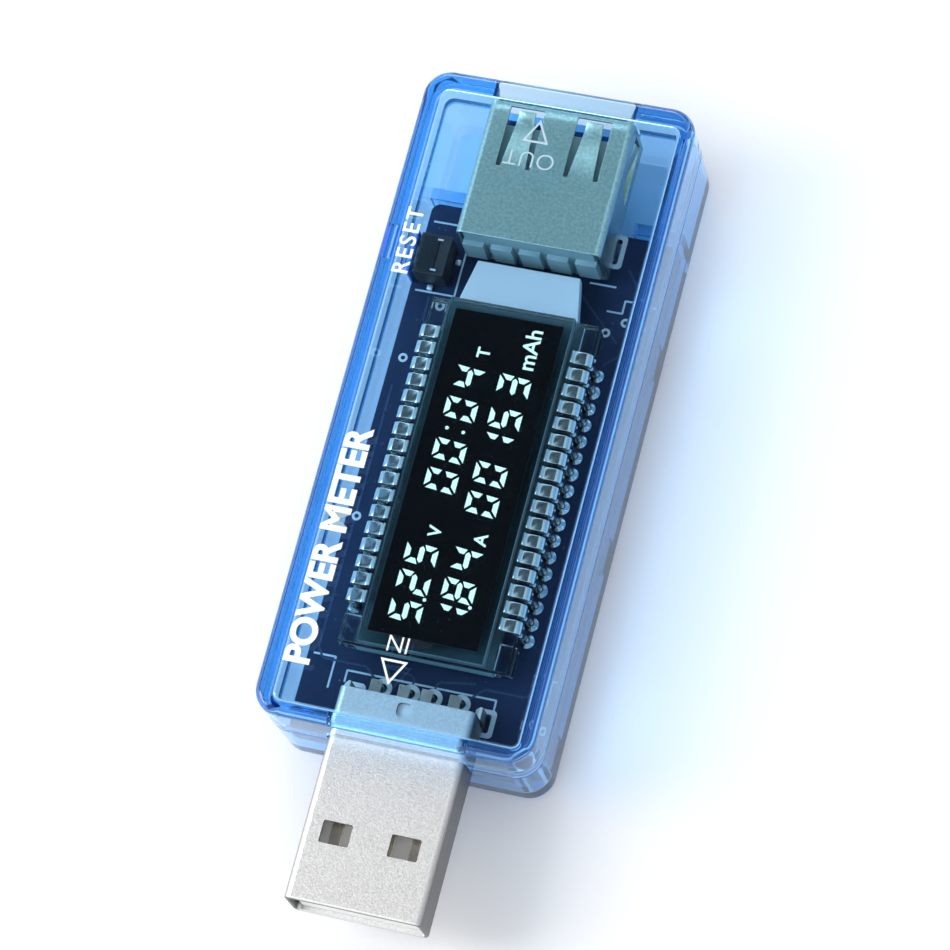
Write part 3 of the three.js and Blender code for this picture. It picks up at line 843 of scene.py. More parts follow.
# painted shade: the guide under the glass is coloured dark
SHADED_GUIDE = Finish("shaded_guide", (0.045, 0.085, 0.1), (0.06, 0.11, 0.125), 0.25, coat=0.3)
FILM = Finish(
    "black_polariser", (0.0035, 0.0035, 0.0038), (0.004, 0.004, 0.0045), 0.3, dust=0.02, specular=0.1
)
SEGMENT = Finish(
    "lit_segment",
    (0.86, 0.92, 0.74),
    (0.82, 0.89, 0.72),
    0.6,
    relief=0.0004,
    dust=0.0,
    glow=0.6,
    specular=0.1,
)
SEAL = Finish("black_seal", (0.012, 0.013, 0.015), (0.02, 0.02, 0.022), 0.3, relief=0.004)
CHIP = Finish(
    "moulded_package", (0.022, 0.023, 0.026), (0.03, 0.031, 0.034), 0.48, grain=6000, relief=0.004
)
CERAMIC = Finish("ceramic_part", (0.35, 0.25, 0.16), (0.3, 0.21, 0.14), 0.45, relief=0.003)
RESISTOR = Finish("resistor_body", (0.03, 0.03, 0.034), (0.04, 0.04, 0.045), 0.4)


# ---- Studio ---------------------------------------------------------------------------------


@dataclass
class Studio:
    """The floor, the light and the camera."""

    azimuth: float = 40.008
    elevation: float = 67.867
    roll: float = -26.999
    target: Point3 = (-0.208, 2.878, 6.2)
    distance: float = 363.04
    lens: float = 160.34
    sensor: float = 36
    clip: Point2 = (0.01, 50)  # in metres
    floor_size: float = 4000
    dark_inner: float = 0.975  # cosine where the dark ceiling patch begins to fade
    dark_outer: float = 0.93
    dim_side: float = 105  # azimuth of the side where the dome is dim
    dome_foot: Colour = (0.82, 0.84, 0.88)
    dome_top: Colour = (1.08, 1.08, 1.08)
    dome_dim: Colour = (0.55, 0.57, 0.61)
    dome_dark: Colour = (0.015, 0.016, 0.018)
    dome_strength: float = 0.94
    floor_white: float = 0.96
    floor_drop: float = 0.02
    lamp_distance: float = 600
    lamps: tuple[tuple[str, float, float, float, float], ...] = (
        ("window_softbox", 285, 40, 260, 1.6),
        ("fill_softbox", 200, 30, 260, 0.7),
    )  # name, azimuth, elevation, size and power
    bounces: int = 28

    @staticmethod
    def direction(azimuth: float, elevation: float) -> Vector:
        """Unit vector towards an azimuth, from -Y towards +X, and an elevation, in degrees."""
        turn, rise = math.radians(azimuth), math.radians(elevation)
        level = math.cos(rise)
        return Vector((math.sin(turn) * level, -math.cos(turn) * level, math.sin(rise)))

    def place_camera(self) -> None:
        """Aims the camera at the target, rolled to its side."""
        back = self.direction(self.azimuth, self.elevation)
        flat = Vector((0, 0, 1)).cross(back).normalized()
        rise = back.cross(flat)
        roll = math.radians(self.roll)
        right = flat * math.cos(roll) + rise * math.sin(roll)
        axes = Matrix((right, back.cross(right), back)).transposed().to_4x4()
        data = bpy.data.cameras.new("camera")
        data.lens, data.sensor_width = self.lens, self.sensor
        data.clip_start, data.clip_end = self.clip
        camera = bpy.data.objects.new("camera", data)
        spot = Vector(self.target) + back * self.distance
        camera.matrix_world = Matrix.Translation(spot * MM) @ axes
        bpy.context.scene.collection.objects.link(camera)
        bpy.context.scene.camera = camera

    def lay_floor(self) -> None:
        """A pale matte floor."""
        half = self.floor_size / 2
        corners = [(-half, -half, 0), (half, -half, 0), (half, half, 0), (-half, half, 0)]
        floor = Blank("floor", corners, [range(4)]).move(z=-self.floor_drop)
        floor.obj.data.transform(Matrix.Scale(MM, 4))
        material = bpy.data.materials.new("pale_floor")
        material.use_nodes = True
        surface = material.node_tree.nodes["Principled BSDF"]
        surface.inputs["Base Color"].default_value = (*[self.floor_white] * 3, 1)
        surface.inputs["Roughness"].default_value = 0.9
        surface.inputs["Specular IOR Level"].default_value = 0.1
        floor.obj.data.materials.append(material)

    def light_sky(self) -> None:
        """A white dome with one dark patch, so that flat faces show what lies under them."""
        world = bpy.data.worlds.new("studio")
        world.use_nodes = True
        bpy.context.scene.world = world
        shader = Shader(world.node_tree)
        place = shader.add("ShaderNodeTexCoord").outputs["Generated"]
        mirror = self.direction(self.azimuth, self.elevation) * Vector((-1, -1, 1))
        facing = shader.add("ShaderNodeVectorMath", {0: place, 1: mirror}, operation="DOT_PRODUCT")
        patch = shader.mask(facing.outputs["Value"], self.dark_outer, self.dark_inner)
        height = shader.add("ShaderNodeSeparateXYZ", {"Vector": place}).outputs["Z"]
        dome = shader.mix(shader.mask(height, -0.1, 0.9), self.dome_foot, self.dome_top)
        away = self.direction(self.dim_side, 0)
        side = shader.add("ShaderNodeVectorMath", {0: place, 1: away}, operation="DOT_PRODUCT")
        dome = shader.mix(shader.mask(side.outputs["Value"], 0.1, 0.9), dome, self.dome_dim)
        colour = shader.mix(patch, dome, self.dome_dark)
        sky = shader.add("ShaderNodeBackground", {"Color": colour, "Strength": self.dome_strength})
        shader.add("ShaderNodeOutputWorld", {"Surface": sky.outputs[0]})

    def add_lamp(self, name: str, azimuth: float, elevation: float, size: float, power: float) -> None:
        """Adds a square softbox that looks at the origin from a direction."""
        away = self.direction(azimuth, elevation)
        data = bpy.data.lights.new(name, "AREA")
        data.size, data.energy = size * MM, power
        lamp = bpy.data.objects.new(name, data)
        lamp.rotation_mode = "QUATERNION"
        lamp.rotation_quaternion = (-away).to_track_quat("-Z", "Y")
        lamp.location = away * self.lamp_distance * MM
        bpy.context.scene.collection.objects.link(lamp)

    def build(self) -> None:
        """Sets up the whole studio."""
        self.place_camera()
        self.lay_floor()
        self.light_sky()
        for lamp in self.lamps:
            self.add_lamp(*lamp)
        scene = bpy.context.scene
        scene.view_settings.view_transform = "Standard"
        scene.cycles.max_bounces = scene.cycles.transmission_bounces = self.bounces
        scene.cycles.transparent_max_bounces = self.bounces + 4


# ---- Housing --------------------------------------------------------------------------------


@dataclass
class Housing:
    """The two clear shells: an upper one, and a lower one with a lip, ledges and end stops."""

    corner: float = 2.4
    edge: float = 0.7
    wall: float = 1.4
    floor: float = 1.3
    roof: float = 1.4
    cavity_corner: float = 0.8
    cavity_edge: float = 0.3
    seam_round: float = 0.14
    seam_gap: float = 0.04
    lip: float = 0.6
    lip_gap: float = 0.12
    lip_height: float = 0.9
    lip_round: float = 0.1
    draft: float = 0.13
    plug_gap: float = 0.15
    mouth_step: float = 0.06
    opening_round: float = 0.7
    ledge: Point3 = (1.5, 3.0, 3.1)
    ledge_stations: tuple[float, ...] = (4, 22, 40)
    stop: Point3 = (3.2, 1.1, 5.3)
    stop_gap: float = 8.3
    cradle: Point2 = (9, 1.2)
    cradle_gap: float = 3.2
    key_gap: float = 0.15
    plug_half: float = 6
    lip_break: Point3 = (0.5, 4, 3.4)  # where the lip's gaps start, and end at the plug and the mouth
    rib_round: Point2 = (0.12, 0.1)  # on the ledges and stops, and on the cradle
    least_corner: float = 0.1
    steps: int = 10

    def __post_init__(self) -> None:
        """Takes the places of the shells and of what passes through them from the frame."""
        self.box = Span.of("housing_top", "housing_bottom")
        self.seam = Span.of("housing_top").low.z
        self.board = Span.of("circuit_board")
        self.plug = Span.of("plug_shell")
        self.socket = Span.of("receptacle_shell")
        self.key = Span.of("reset_button")
        self.inner = self.box.high.x - self.wall
        self.mouth = self.box.high.y - self.wall

    def ring(self, inset: float, level: float) -> list[Point3]:
        """The housing's outline, set in from its outer wall, at a level."""
        half = self.box.size / 2
        radius = self.corner + (self.cavity_corner - self.corner) * inset / self.wall
        outline = rounded_outline(half.x - inset, half.y - inset, max(radius, self.least_corner), self.steps)
        return [(x, y + self.box.centre.y, level) for x, y in outline]

    def shell(self, name: str, profile: Sequence[Point2]) -> Blank:
        """Sweeps a profile of inset and level round the housing's outline, and closes its ends."""
        return loft(name, [self.ring(inset, level) for inset, level in profile])

    def upper(self) -> Blank:
        """The upper shell, from the middle of its roof outside to the middle inside."""
        top, seam, r = self.box.high.z, self.seam + self.seam_gap / 2, self.seam_round
        recess = self.wall - self.lip - self.lip_gap
        recess_top = self.seam + self.lip_height + self.lip_gap
        ceiling, soft = top - self.roof, self.cavity_edge
        profile = [
            *arc((self.edge, top - self.edge), self.edge, 90, 180, 8),
            *arc((r, seam + r), r, 180, 270, 3),
            (recess, seam),
            (recess, recess_top),
            (self.wall, recess_top),
            *arc((self.wall + soft, ceiling - soft), soft, 180, 90, 4),
        ]
        return self.shell("case_upper_shell", profile).cut(self.plug_cutter(), self.mouth_cutter())

    def lower(self) -> Blank:
        """The lower shell, from the middle of its floor outside to the middle inside."""
        seam, r, tip = self.seam - self.seam_gap / 2, self.seam_round, self.lip_round
        lip_top, inset = self.seam + self.lip_height, self.wall - self.lip
        foot = arc((self.edge, self.edge), self.edge, 270, 180, 8)
        soft = self.cavity_edge
        profile = [
            *((x + self.draft * (1 - z / seam), z) for x, z in foot),
            *arc((r, seam - r), r, 180, 90, 3),
            (inset, seam),
            *arc((inset + tip, lip_top - tip), tip, 180, 90, 3),
            *arc((self.wall - tip, lip_top - tip), tip, 90, 0, 3),
            *arc((self.wall + soft, self.floor + soft), soft, 180, 270, 4),
        ]
        shell = self.shell("case_lower_shell", profile)
        shell.join(*self.ledges(), *self.end_stops(), self.cradle_rib())
        return shell.cut(self.plug_cutter(), self.mouth_cutter(), *self.lip_cutters(), self.key_cutter())

    def tunnel(self, half_x: float, low: float, high: float, start: float, end: float) -> Blank:
        """A cutter with round corners that runs along Y."""
        outline = rounded_outline(half_x, (high - low) / 2, self.opening_round, 5)
        centre = (low + high) / 2
        return bar("tunnel", [(x, z + centre) for x, z in outline], start, end)

    def plug_cutter(self) -> Blank:
        """The opening that the plug passes through."""
        gap, end = self.plug_gap, self.box.low.y
        low = self.board.high.z - gap
        return self.tunnel(self.plug_half + gap, low, self.plug.high.z + gap, end - 1, end + self.wall + 1)

    def mouth_cutter(self) -> Blank:
        """The opening in front of the receptacle's mouth."""
        step, end = self.mouth_step, self.box.high.y
        low, high = self.board.high.z + step, self.socket.high.z - step
        return self.tunnel(self.socket.high.x - step, low, high, end - self.wall - 1, end + 1)

    def lip_cutters(self) -> list[Blank]:
        """Gaps in the lip at the plug and at the receptacle."""
        low, high = self.seam + 0.001, self.seam + self.lip_height + 1
        start, end = self.box.low.y, self.box.high.y
        near, past_plug, past_mouth = self.lip_break
        plug_half, mouth_half = self.plug_half + self.plug_gap, self.socket.high.x + self.plug_gap
        return [
            block("lip_gap", (-plug_half, start + near, low), (plug_half, start + past_plug, high)),
            block("lip_gap", (-mouth_half, end - past_mouth, low), (mouth_half, end - near, high)),
        ]

    def key_cutter(self) -> Blank:
        """The hole for the reset button in the left wall."""
        gap, cap = self.key_gap, ResetKey.cap
        centre = self.key.centre
        half_y, half_z = cap[0] / 2 + gap, cap[1] / 2 + gap
        low = (-self.box.high.x - 1, centre.y - half_y, centre.z - half_z)
        high = (-self.inner + 1, centre.y + half_y, centre.z + half_z)
        return block("key_hole", low, high)

    def on_wall(self, side: Side, reach: float, start: float, end: float, top: float) -> Blank:
        """A block that stands on the floor against a side wall, its edges rounded."""
        outer = self.inner + (self.wall - self.draft) / 2
        ends = sorted((side.value * (self.inner - reach), side.value * outer))
        piece = block("rib", (ends[0], start, self.floor / 2), (ends[1], end, top))
        return piece.bevel(self.rib_round[0])

    def ledges(self) -> list[Blank]:
        """The ledges that the board lies on."""
        reach, length, top = self.ledge
        spots = [self.box.low.y + s - length / 2 for s in self.ledge_stations]
        return [self.on_wall(side, reach, y, y + length, top) for side in Side for y in spots]

    def end_stops(self) -> list[Blank]:
        """The blocks past the end of the board."""
        reach, thickness, top = self.stop
        y = self.mouth - self.stop_gap
        return [self.on_wall(side, reach, y, y + thickness, top) for side in Side]

    def cradle_rib(self) -> Blank:
        """The rib under the receptacle."""
        width, thickness = self.cradle
        y = self.mouth - self.cradle_gap - thickness / 2
        low = (-width / 2, y, self.floor / 2)
        high = (width / 2, y + thickness, self.board.high.z)
        return block("cradle", low, high).bevel(self.rib_round[1])

    def build(self) -> None:
        """Builds both shells."""
        material = BLUE_CASE_PAINTED_SIDES.material()
        upper, lower = self.upper(), self.lower()
        upper.settle(material, "blue_case", replaces=["housing_top"], smooth=CASE_SMOOTH)
        lower.settle(material, "blue_case", replaces=["housing_bottom"], smooth=CASE_SMOOTH)


# ---- Legends --------------------------------------------------------------------------------


@dataclass(frozen=True)
class Words:
    """Words printed on the roof."""

    name: str
    text: str
    height: float
    weight: float
    place: Point2
    turn: float
    spacing: float = 1
    ink: Finish = WHITE_INK_PAINTED_GLOW


@dataclass
class Legends:
    """White printing on the roof: plain words and two arrows."""

    depth: float = 0.02
    sunk: float = 0.008
    line: float = 0.19
    words: tuple[Words, ...] = (
        Words("legend_reset", "RESET", 1.5, 0.03, (-9.75, 20.6), 90, 1.2),
        Words("legend_out", "OUT", 1.55, -0.02, (-1.3, 29.95), 180, 1.05, FAINT_INK),
        Words("legend_in", "IN", 1.5, -0.015, (-1.15, -14.75), 180),
        Words("legend_title", "POWER METER", 2.3, 0.11, (-9.2, -7.6), 90),
    )
    arrow_width: float = 2.4
    arrow_height: float = 2.2
    arrow_inner: float = 3.1  # the hole's setback from the middle, in line widths
    out_arrow: Point2 = (-1.2, 31.5)
    in_arrow: Point2 = (-1.1, -16.2)

    def arrow(self, name: str, base: Point2, way: int, level: float) -> Blank:
        """An open triangle from the middle of its base towards +Y or -Y."""
        half, tip = self.arrow_width / 2, self.arrow_height * way
        x, y = base
        outer = [(x - half, y), (x + half, y), (x, y + tip)]
        middle = Vector((x, y + tip / 3))
        shrink = 1 - self.arrow_inner * self.line / self.arrow_height
        inner = [middle + (Vector(p) - middle) * shrink for p in outer]
        return frame_plate(name, outer, inner, level, level + self.depth)

    def build(self) -> None:
        """Prints every word and arrow."""
        level = Span.of("housing_top").high.z - self.sunk
        for word in self.words:
            piece = lettering(word.name, word.text, word.height, word.weight, self.depth, word.spacing)
            piece.move(*word.place, level, word.turn).settle(word.ink.material(), "blue_case")
        self.arrow("arrow_out", self.out_arrow, 1, level).settle(FAINT_INK.material(), "blue_case")
        self.arrow("arrow_in", self.in_arrow, -1, level).settle(WHITE_INK_PAINTED_GLOW.material(), "blue_case")


# ---- Display --------------------------------------------------------------------------------


def mirrored(points: Sequence[Point2], x: int, y: int) -> list[Point2]:
    """Points with each coordinate kept or turned over, by 1 or -1."""
    return [(px * x, py * y) for px, py in points]


@dataclass
class SegmentDigit:
    """A slanted seven-segment digit that reads towards +Y, with its top towards -X."""

    width: float = 1.85
    height: float = 2.85
    stroke: float = 0.46
    gap: float = 0.17
    slant: float = 0.1

    shapes: ClassVar[dict[str, str]] = {
        "0": "abcdef",
        "1": "bc",
        "2": "abged",
        "3": "abgcd",
        "4": "fgbc",
        "5": "afgcd",
        "8": "abcdefg",
    }

    def outlines(self) -> dict[str, list[Point2]]:
        """The outline of each segment, across and up from the digit's middle."""
        w, h, t, g = self.width / 2, self.height / 2, self.stroke, self.gap
        tee, reach = t / 2, w - g
        top = [(-reach, h), (reach, h), (reach - t, h - t), (t - reach, h - t)]
        upper = [(-reach, 0), (tee - reach, tee), (reach - tee, tee), (reach, 0)]
        middle = [*upper, (reach - tee, -tee), (tee - reach, -tee)]
        side = [(-w, h - g), (-w + t, h - g - t), (-w + t, g + tee), (-w, g)]
        return {
            "a": top,
            "b": mirrored(side, -1, 1),
            "c": mirrored(side, -1, -1),
            "d": mirrored(top, 1, -1),
            "e": mirrored(side, 1, -1),
            "f": side,
            "g": middle,
        }

    def build(self, figure: str, place: Point2, low: float, high: float) -> list[Blank]:
        """Raises a figure's segments from the film."""
        outlines = self.outlines()
        x, y = place
        return [
            slab("segment", [(x - v, y + u + self.slant * v) for u, v in outlines[letter]], low, high)
            for letter in self.shapes[figure]
        ]


@dataclass
class Display:
    """The segment display: two glasses, the dark film, the light guide and the clip leads."""

    leads: int = 17
    lead_width: float = 1.1
    leg_width: float = 0.45
    thickness: float = 0.22
    bend: float = 0.46
    curl: float = 0.42
    jaw_reach: float = 1.92
    curl_from: float = 200  # the angle where the upper jaw's curl starts
    lower_reach: float = 0.8
    jaw_gap: float = 0.17  # from the rear glass to the middle of the lower jaw
    jaw_edge: float = 0.04
    hook: float = 0.2
    knees: Point3 = (0.05, 0.1, 0.4)  # below the bend: two straight points, and where the leg is narrow
    foot: float = 0.25
    ear_from: float = 6.1
    edge_skin: float = 0.03
    edge_inset: float = 0.04
    figure_depth: float = 0.02
    figure_sunk: float = 0.004
    unit_weight: float = 0.03
    rows: tuple[tuple[float, str, tuple[float, ...]], ...] = (
        (-2.05, "525" + "0004", (-11.1, -8.55, -6.0, 0.75, 3.5, 7.35, 10.25)),
        (1.95, "184" + "00153", (-10.9, -8.5, -5.75, -0.65, 2.1, 4.75, 7.2, 10.2)),
    )
    dots: tuple[Point2, ...] = ((-0.72, -9.85), (3.28, -9.75), (-2.8, 5.5), (-1.3, 5.35))
    dot: float = 0.32
    units: tuple[tuple[str, float, Point2], ...] = (
        ("V", 1.15, (-1.35, -3.75)),
        ("T", 1.15, (-1.35, 12.75)),
        ("A", 1.15, (2.7, -3.75)),
        ("mAh", 1.45, (2.6, 13.75)),
    )
    seal: Point3 = (1.75, 0.75, 0.06)
    seal_x: float = -0.7
    lit_from: float = 0.1
    bond: float = 0.03

    def __post_init__(self) -> None:
        """Takes the glasses' and the leads' places from the frame."""
        self.front = Span.of("display_glass_front")
        self.rear = Span.of("display_glass_rear")
        self.film = Span.of("display_film")
        first, last = Span.of("display_pin_left_01"), Span.of("display_pin_left_17")
        self.first_lead = first.centre.y
        self.pitch = (last.centre.y - self.first_lead) / (self.leads - 1)
        self.lead = Span.of("display_pin_right_01")

    def glasses(self) -> None:
        """Both glasses and the film, their edges ground."""
        glass = DISPLAY_GLASS.material()
        rear = Blank.from_node("lcd_glass_rear", "display_glass_rear")
        top = self.rear.high.z
        rear.cut(block("bond", (-FAR, -FAR, top - self.bond), (FAR, FAR, top + 1)))
        rear.bevel(MOULDED_EDGE).settle(glass, "display_glass", replaces=["display_glass_rear"])
        front = Blank.from_node("lcd_glass_front", "display_glass_front").bevel(MOULDED_EDGE)
        front.settle(glass, "display_glass", replaces=["display_glass_front"])
        film = Blank.from_node("lcd_film", "display_film").bevel(FINE_EDGE, 1)
        film.settle(FILM.material(), "display_film", replaces=["display_film"])

    def ground_edges(self) -> None:
        """The ground edges of the front glass and of the light guide, which catch the light."""
        guide, skin, inset = Span.of("display_backlight"), self.edge_skin, self.edge_inset
        low, high = self.front.low + Vector((inset,) * 3), self.front.high - Vector((inset,) * 3)
        start, ear = guide.low.y - inset, self.ear_from
        sheets = (
            (low, (high.x, low.y + skin, high.z)),
            (low, (low.x + skin, high.y, high.z)),
            ((high.x - skin, low.y, low.z), high),
            ((-ear, start, guide.low.z + inset), (ear, start + skin, guide.high.z - inset)),
        )
        whole = Blank("ground_edges", [], []).gather(*(block("edge", *ends) for ends in sheets))
        whole.settle(GROUND_EDGE.material(), "display_glass")

    def light_guide(self) -> None:
        """The light guide: its plate in painted shade, its milky lit end and the clear ears at its corners.
        """
        node = "display_backlight"
        span = Span.of(node)
        low, high = span.low - Vector((1, 1, 1)), span.high + Vector((1, 1, 1))
        split, ear = self.rear.high.y + self.lit_from, self.ear_from
        lit_end = ((low.x, split, low.z), high)
        under_glass = (low, (high.x, split, high.z))
        middle = ((-ear, low.y, low.z), (ear, high.y, high.z))
        sides = ((low, (-ear, high.y, high.z)), ((ear, low.y, low.z), high))
        pieces = (
            ("light_guide", (*sides, lit_end), 0.12, SHADED_GUIDE, [node]),
            ("light_guide_end", (*sides, under_glass), 0.1, DIFFUSER, []),
            ("light_guide_ears", (middle,), 0.15, DISPLAY_GLASS, []),
        )
        for name, cuts, edge, finish, nodes in pieces:
            piece = Blank.from_node(name, node).cut(*(block("cutter", *ends) for ends in cuts))
            piece.bevel(edge, 3).settle(finish.material(), "diffuser", replaces=nodes)

    def lead_blank(self) -> Blank:
        """One clip lead, its length from the middle drawn along Y and its place along Y at 0."""
        half = self.thickness / 2
        out, top = self.lead.high.x - half, self.lead.high.z - half
        tip = self.lead.high.x - self.jaw_reach + half
        knee, foot = top - self.bend, self.lead.low.z
        curl = arc((tip + self.curl, top + self.curl), self.curl, self.curl_from, 270, 6)
        bend = arc((out - self.bend, knee), self.bend, 90, 0, 6)
        wide = [*curl, *bend, *((out, knee - drop) for drop in self.knees[:2])]
        narrow = [(out, knee - self.knees[2]), (out, foot + self.foot), (out, foot)]
        widths = [self.lead_width] * len(wide) + [self.leg_width] * 2 + [self.leg_width * 0.6]
        upper = strip("lead", [*wide, *narrow], widths, self.thickness)
        under = self.rear.low.z - self.jaw_gap
        hook = arc((out - self.hook, under - self.hook), self.hook, 20, 90, 4)
        jaw = [*hook, (self.lead.high.x - self.lower_reach, under)]
        lower = strip("lower_jaw", jaw, [self.lead_width * 0.9] * len(jaw), self.thickness)
        return upper.bevel(STRIP_EDGE, 2, SHEET_ANGLE).gather(lower.bevel(self.jaw_edge, 1, SHEET_ANGLE))

    def lead_row(self, side: Side) -> None:
        """A row of clip leads down one side."""
        label = side.name.lower()
        blank = self.lead_blank()
        blank.obj.name = "clip_leads_" + label
        blank.move(turn=-90 * side.value)
        row(blank, self.leads, (0, self.pitch, 0), TIN.material())
        blank.move(y=self.first_lead)
        nodes = [f"display_pin_{label}_{i + 1:02d}" for i in range(self.leads)]
        blank.settle(TIN.material(), "tinned_lead", replaces=nodes)

    def figures(self) -> None:
        """Every lit segment, dot and unit."""
        low = self.film.high.z - self.figure_sunk
        high = low + self.figure_depth
        parts = []
        for x, figures, places in self.rows:
            for figure, y in zip(figures, places, strict=True):
                parts += SegmentDigit().build(figure, (x, y), low, high)
        for x, y in self.dots:
            parts.append(slab("dot", arc((x, y), self.dot / 2, 0, 337.5, 15), low, high))
        for text, height, place in self.units:
            unit = lettering("unit", text, height, self.unit_weight, self.figure_depth)
            parts.append(unit.move(*place, low, 90))
        whole = Blank("lit_figures", [], []).gather(*parts)
        whole.settle(SEGMENT.material(), "display_film")

    def fill_seal(self) -> None:
        """The dark drop that closes the cell's filling port."""
        half_x, half_y, rise = self.seal
        circle = arc((0, 0), 1, 180, 360, 18)
        outline = [(self.seal_x + x * half_x, self.film.low.y + y * half_y) for x, y in circle]
        drop = slab("cell_fill_seal", outline, self.front.high.z - 0.02, self.front.high.z + rise)
        drop.bevel(FINE_EDGE).settle(SEAL.material(), "display_film")

    def build(self) -> None:
        """Builds the display."""
        self.glasses()
        self.ground_edges()
        self.light_guide()
        for side in Side:
            self.lead_row(side)
        self.figures()
        self.fill_seal()


# ---- Circuit board --------------------------------------------------------------------------


@dataclass
class CircuitBoard:
    """The board with its printing, tracks, plated holes and solder."""

    ink: float = 0.02
    ink_line: float = 0.17
    track: float = 0.2
    copper: float = 0.025
    pad: float = 0.62
    pad_rise: float = 0.42
    contact_x: tuple[float, ...] = (-3.5, -1, 1, 3.5)
    ink_lines: tuple[tuple[Point2, ...], ...] = (
        ((-6.9, -17.0), (-6.9, -15.95), (6.4, -15.95), (6.4, -17.3)),
        ((4.9, 22.5), (7.3, 22.5)),
        ((7.0, 20.2), (8.4, 20.2), (8.4, 21.4), (10.0, 21.4)),
        ((-10.2, 19.0), (-6.6, 19.0), (-6.6, 25.6), (-10.2, 25.6)),
        ((9.3, -15.3), (9.3, -13.2), (10.1, -13.2)),
        ((-10.2, -15.0), (-8.2, -15.0), (-8.2, -17.8)),
    )
    track_lines: tuple[tuple[Point2, ...], ...] = (
        ((3.5, -16.9), (5.2, -15.2), (8.8, -15.2), (9.9, -13.9), (9.9, 12)),
        ((1.0, -16.9), (1.0, -15.4), (4.3, -14.9)),
        ((-1.0, -16.9), (-1.0, -15.3), (-3.9, -14.9)),
        ((-3.5, -16.9), (-5.4, -15.3), (-9.3, -15.3), (-9.9, -14.4), (-9.9, 10)),
        ((7.9, 15.2), (9.4, 16.6), (9.4, 22.5), (8.0, 24.3)),
        ((-7.9, 15.2), (-8.8, 16.4), (-8.8, 18.6)),
        ((3.5, 24.15), (3.5, 22.2), (6.2, 19.6), (8.6, 17.4)),
        ((9.0, -18.8), (9.0, -16.4), (10.2, -15.2)),
    )
    vias: tuple[Point2, ...] = (
        (-9.8, -2.35),
        (8.9, 19.4),
        (-9.6, 12.6),
        (9.6, -17.6),
        (7.4, 18.2),
        (-7.4, 17.6),
    )
    via_ring: Point3 = (0.42, 0.2, 0.04)  # outer and inner radius, and rise
    pin_ring: Point3 = (0.86, 0.42, 0.05)
    pin_from_end: float = 0.08
    corners: Point2 = (0.5, 0.05)  # radius of the corners of the tracks and of the printing
    pad_below: float = 0.5  # the solder's rise under the board
    cone_top: float = 0.2
    cone_curve: float = 2.2
    cone_turn: float = 180  # how far chance may turn a cone, in degrees
    cone_spread: float = 0.05
    cone_seed: int = 3
    slots: tuple[tuple[float, float, float, float], ...] = (
        (1.9, 2.5, 5.85, -0.8),
        (1.7, 3.2, 6.4, 2.8),
    )  # width, length, distance from the middle, and place from the shell's inner end
    slot_line: float = 0.42
    slot_rise: float = 0.06
    slot_rounds: Point2 = (0.4, 0.2)

    def __post_init__(self) -> None:
        """Takes the board's and the leads' places from the frame."""
        self.board = Span.of("circuit_board")
        self.plug_pin = Span.of("plug_contact_1")
        self.socket_pin = Span.of("receptacle_contact_1")
        self.lead = Span.of("display_pin_right_01")
        self.display = Display()

    def level(self, under: bool, height: float) -> float:
        """Where a layer of some height starts, on the board's upper or lower face."""
        return self.board.low.z - height if under else self.board.high.z

    def plated_ring(self, outer: float, inner: float, rise: float, under: bool = False) -> Blank:
        """A plated ring with a soft edge."""
        profile = [(inner, 0), (outer, 0), (outer, rise * 0.6), (outer - rise * 0.4, rise), (inner, rise)]
        angles = [math.tau * i / 24 for i in range(24)]
        rings = [[(r * math.cos(a), r * math.sin(a), z) for a in angles] for r, z in profile]
        return loft("ring", rings, caps=False).move(z=self.level(under, rise))

    def solder_cone(self, rise: float) -> Blank:
        """A fillet of solder that climbs a lead, seen from above."""
        steps = [i / 7 for i in range(8)]
        spread = self.pad - self.cone_top
        profile = [(self.cone_top + spread * (1 - t) ** self.cone_curve, rise * t) for t in steps]
        return turned("solder", [(self.pad * 1.02, -0.01), *profile], 18)

    def solder(self) -> None:
        """Solder round the display leads, above and below the board."""
        x = self.lead.high.x - self.display.thickness / 2
        step = (0, self.display.pitch, 0)
        parts = []
        for side in Side:
            for under in (False, True):
                cone = self.solder_cone(self.pad_below if under else self.pad_rise)
                if under:
                    cone.obj.data.transform(Matrix.Diagonal((1, 1, -1, 1)))
                    cone.edit(lambda bm: bmesh.ops.reverse_faces(bm, faces=bm.faces))
                cone.obj.name = f"solder_{side.name.lower()}_{'below' if under else 'above'}"
                chance = (self.cone_turn, self.cone_spread, self.cone_seed + under)
                row(cone, self.display.leads, step, SOLDER.material(), *chance)
                parts.append(cone.move(side.value * x, self.display.first_lead, self.level(under, 0)))
        for cone in parts:
            cone.settle(SOLDER.material(), "tinned_lead")

    def plated_holes(self) -> None:
        """Rings round the connectors' pins and the spare holes."""
        parts = []
        for y in (self.plug_pin.high.y - self.pin_from_end, self.socket_pin.low.y + self.pin_from_end):
            for x in self.contact_x:
                parts += [self.plated_ring(*self.pin_ring, under).move(x, y) for under in (False, True)]
        parts += [self.plated_ring(*self.via_ring).move(x, y) for x, y in self.vias]
        whole = Blank("plated_rings", [], []).gather(*parts)
        whole.settle(PLATED.material(), "tinned_lead")

    def frame_pads(self) -> None:
        """Plated slots for the legs of the plug's and the receptacle's shells."""
        parts = []
        ends = (Span.of("plug_shell").high.y, Span.of("receptacle_shell").low.y)
        low = self.board.high.z
        for end, (width, length, x, offset) in zip(ends, self.slots, strict=True):
            line, (outer_round, inner_round) = self.slot_line, self.slot_rounds
            outer = rounded_outline(width / 2, length / 2, outer_round, 5)
            inner = rounded_outline(width / 2 - line, length / 2 - line, inner_round, 5)
            for side in Side:
                pad = frame_plate("pad", outer, inner, low, low + self.slot_rise)
                parts.append(pad.move(side.value * x, end + offset))
        whole = Blank("shell_leg_pads", [], []).gather(*parts)
        whole.settle(PLATED.material(), "tinned_lead")

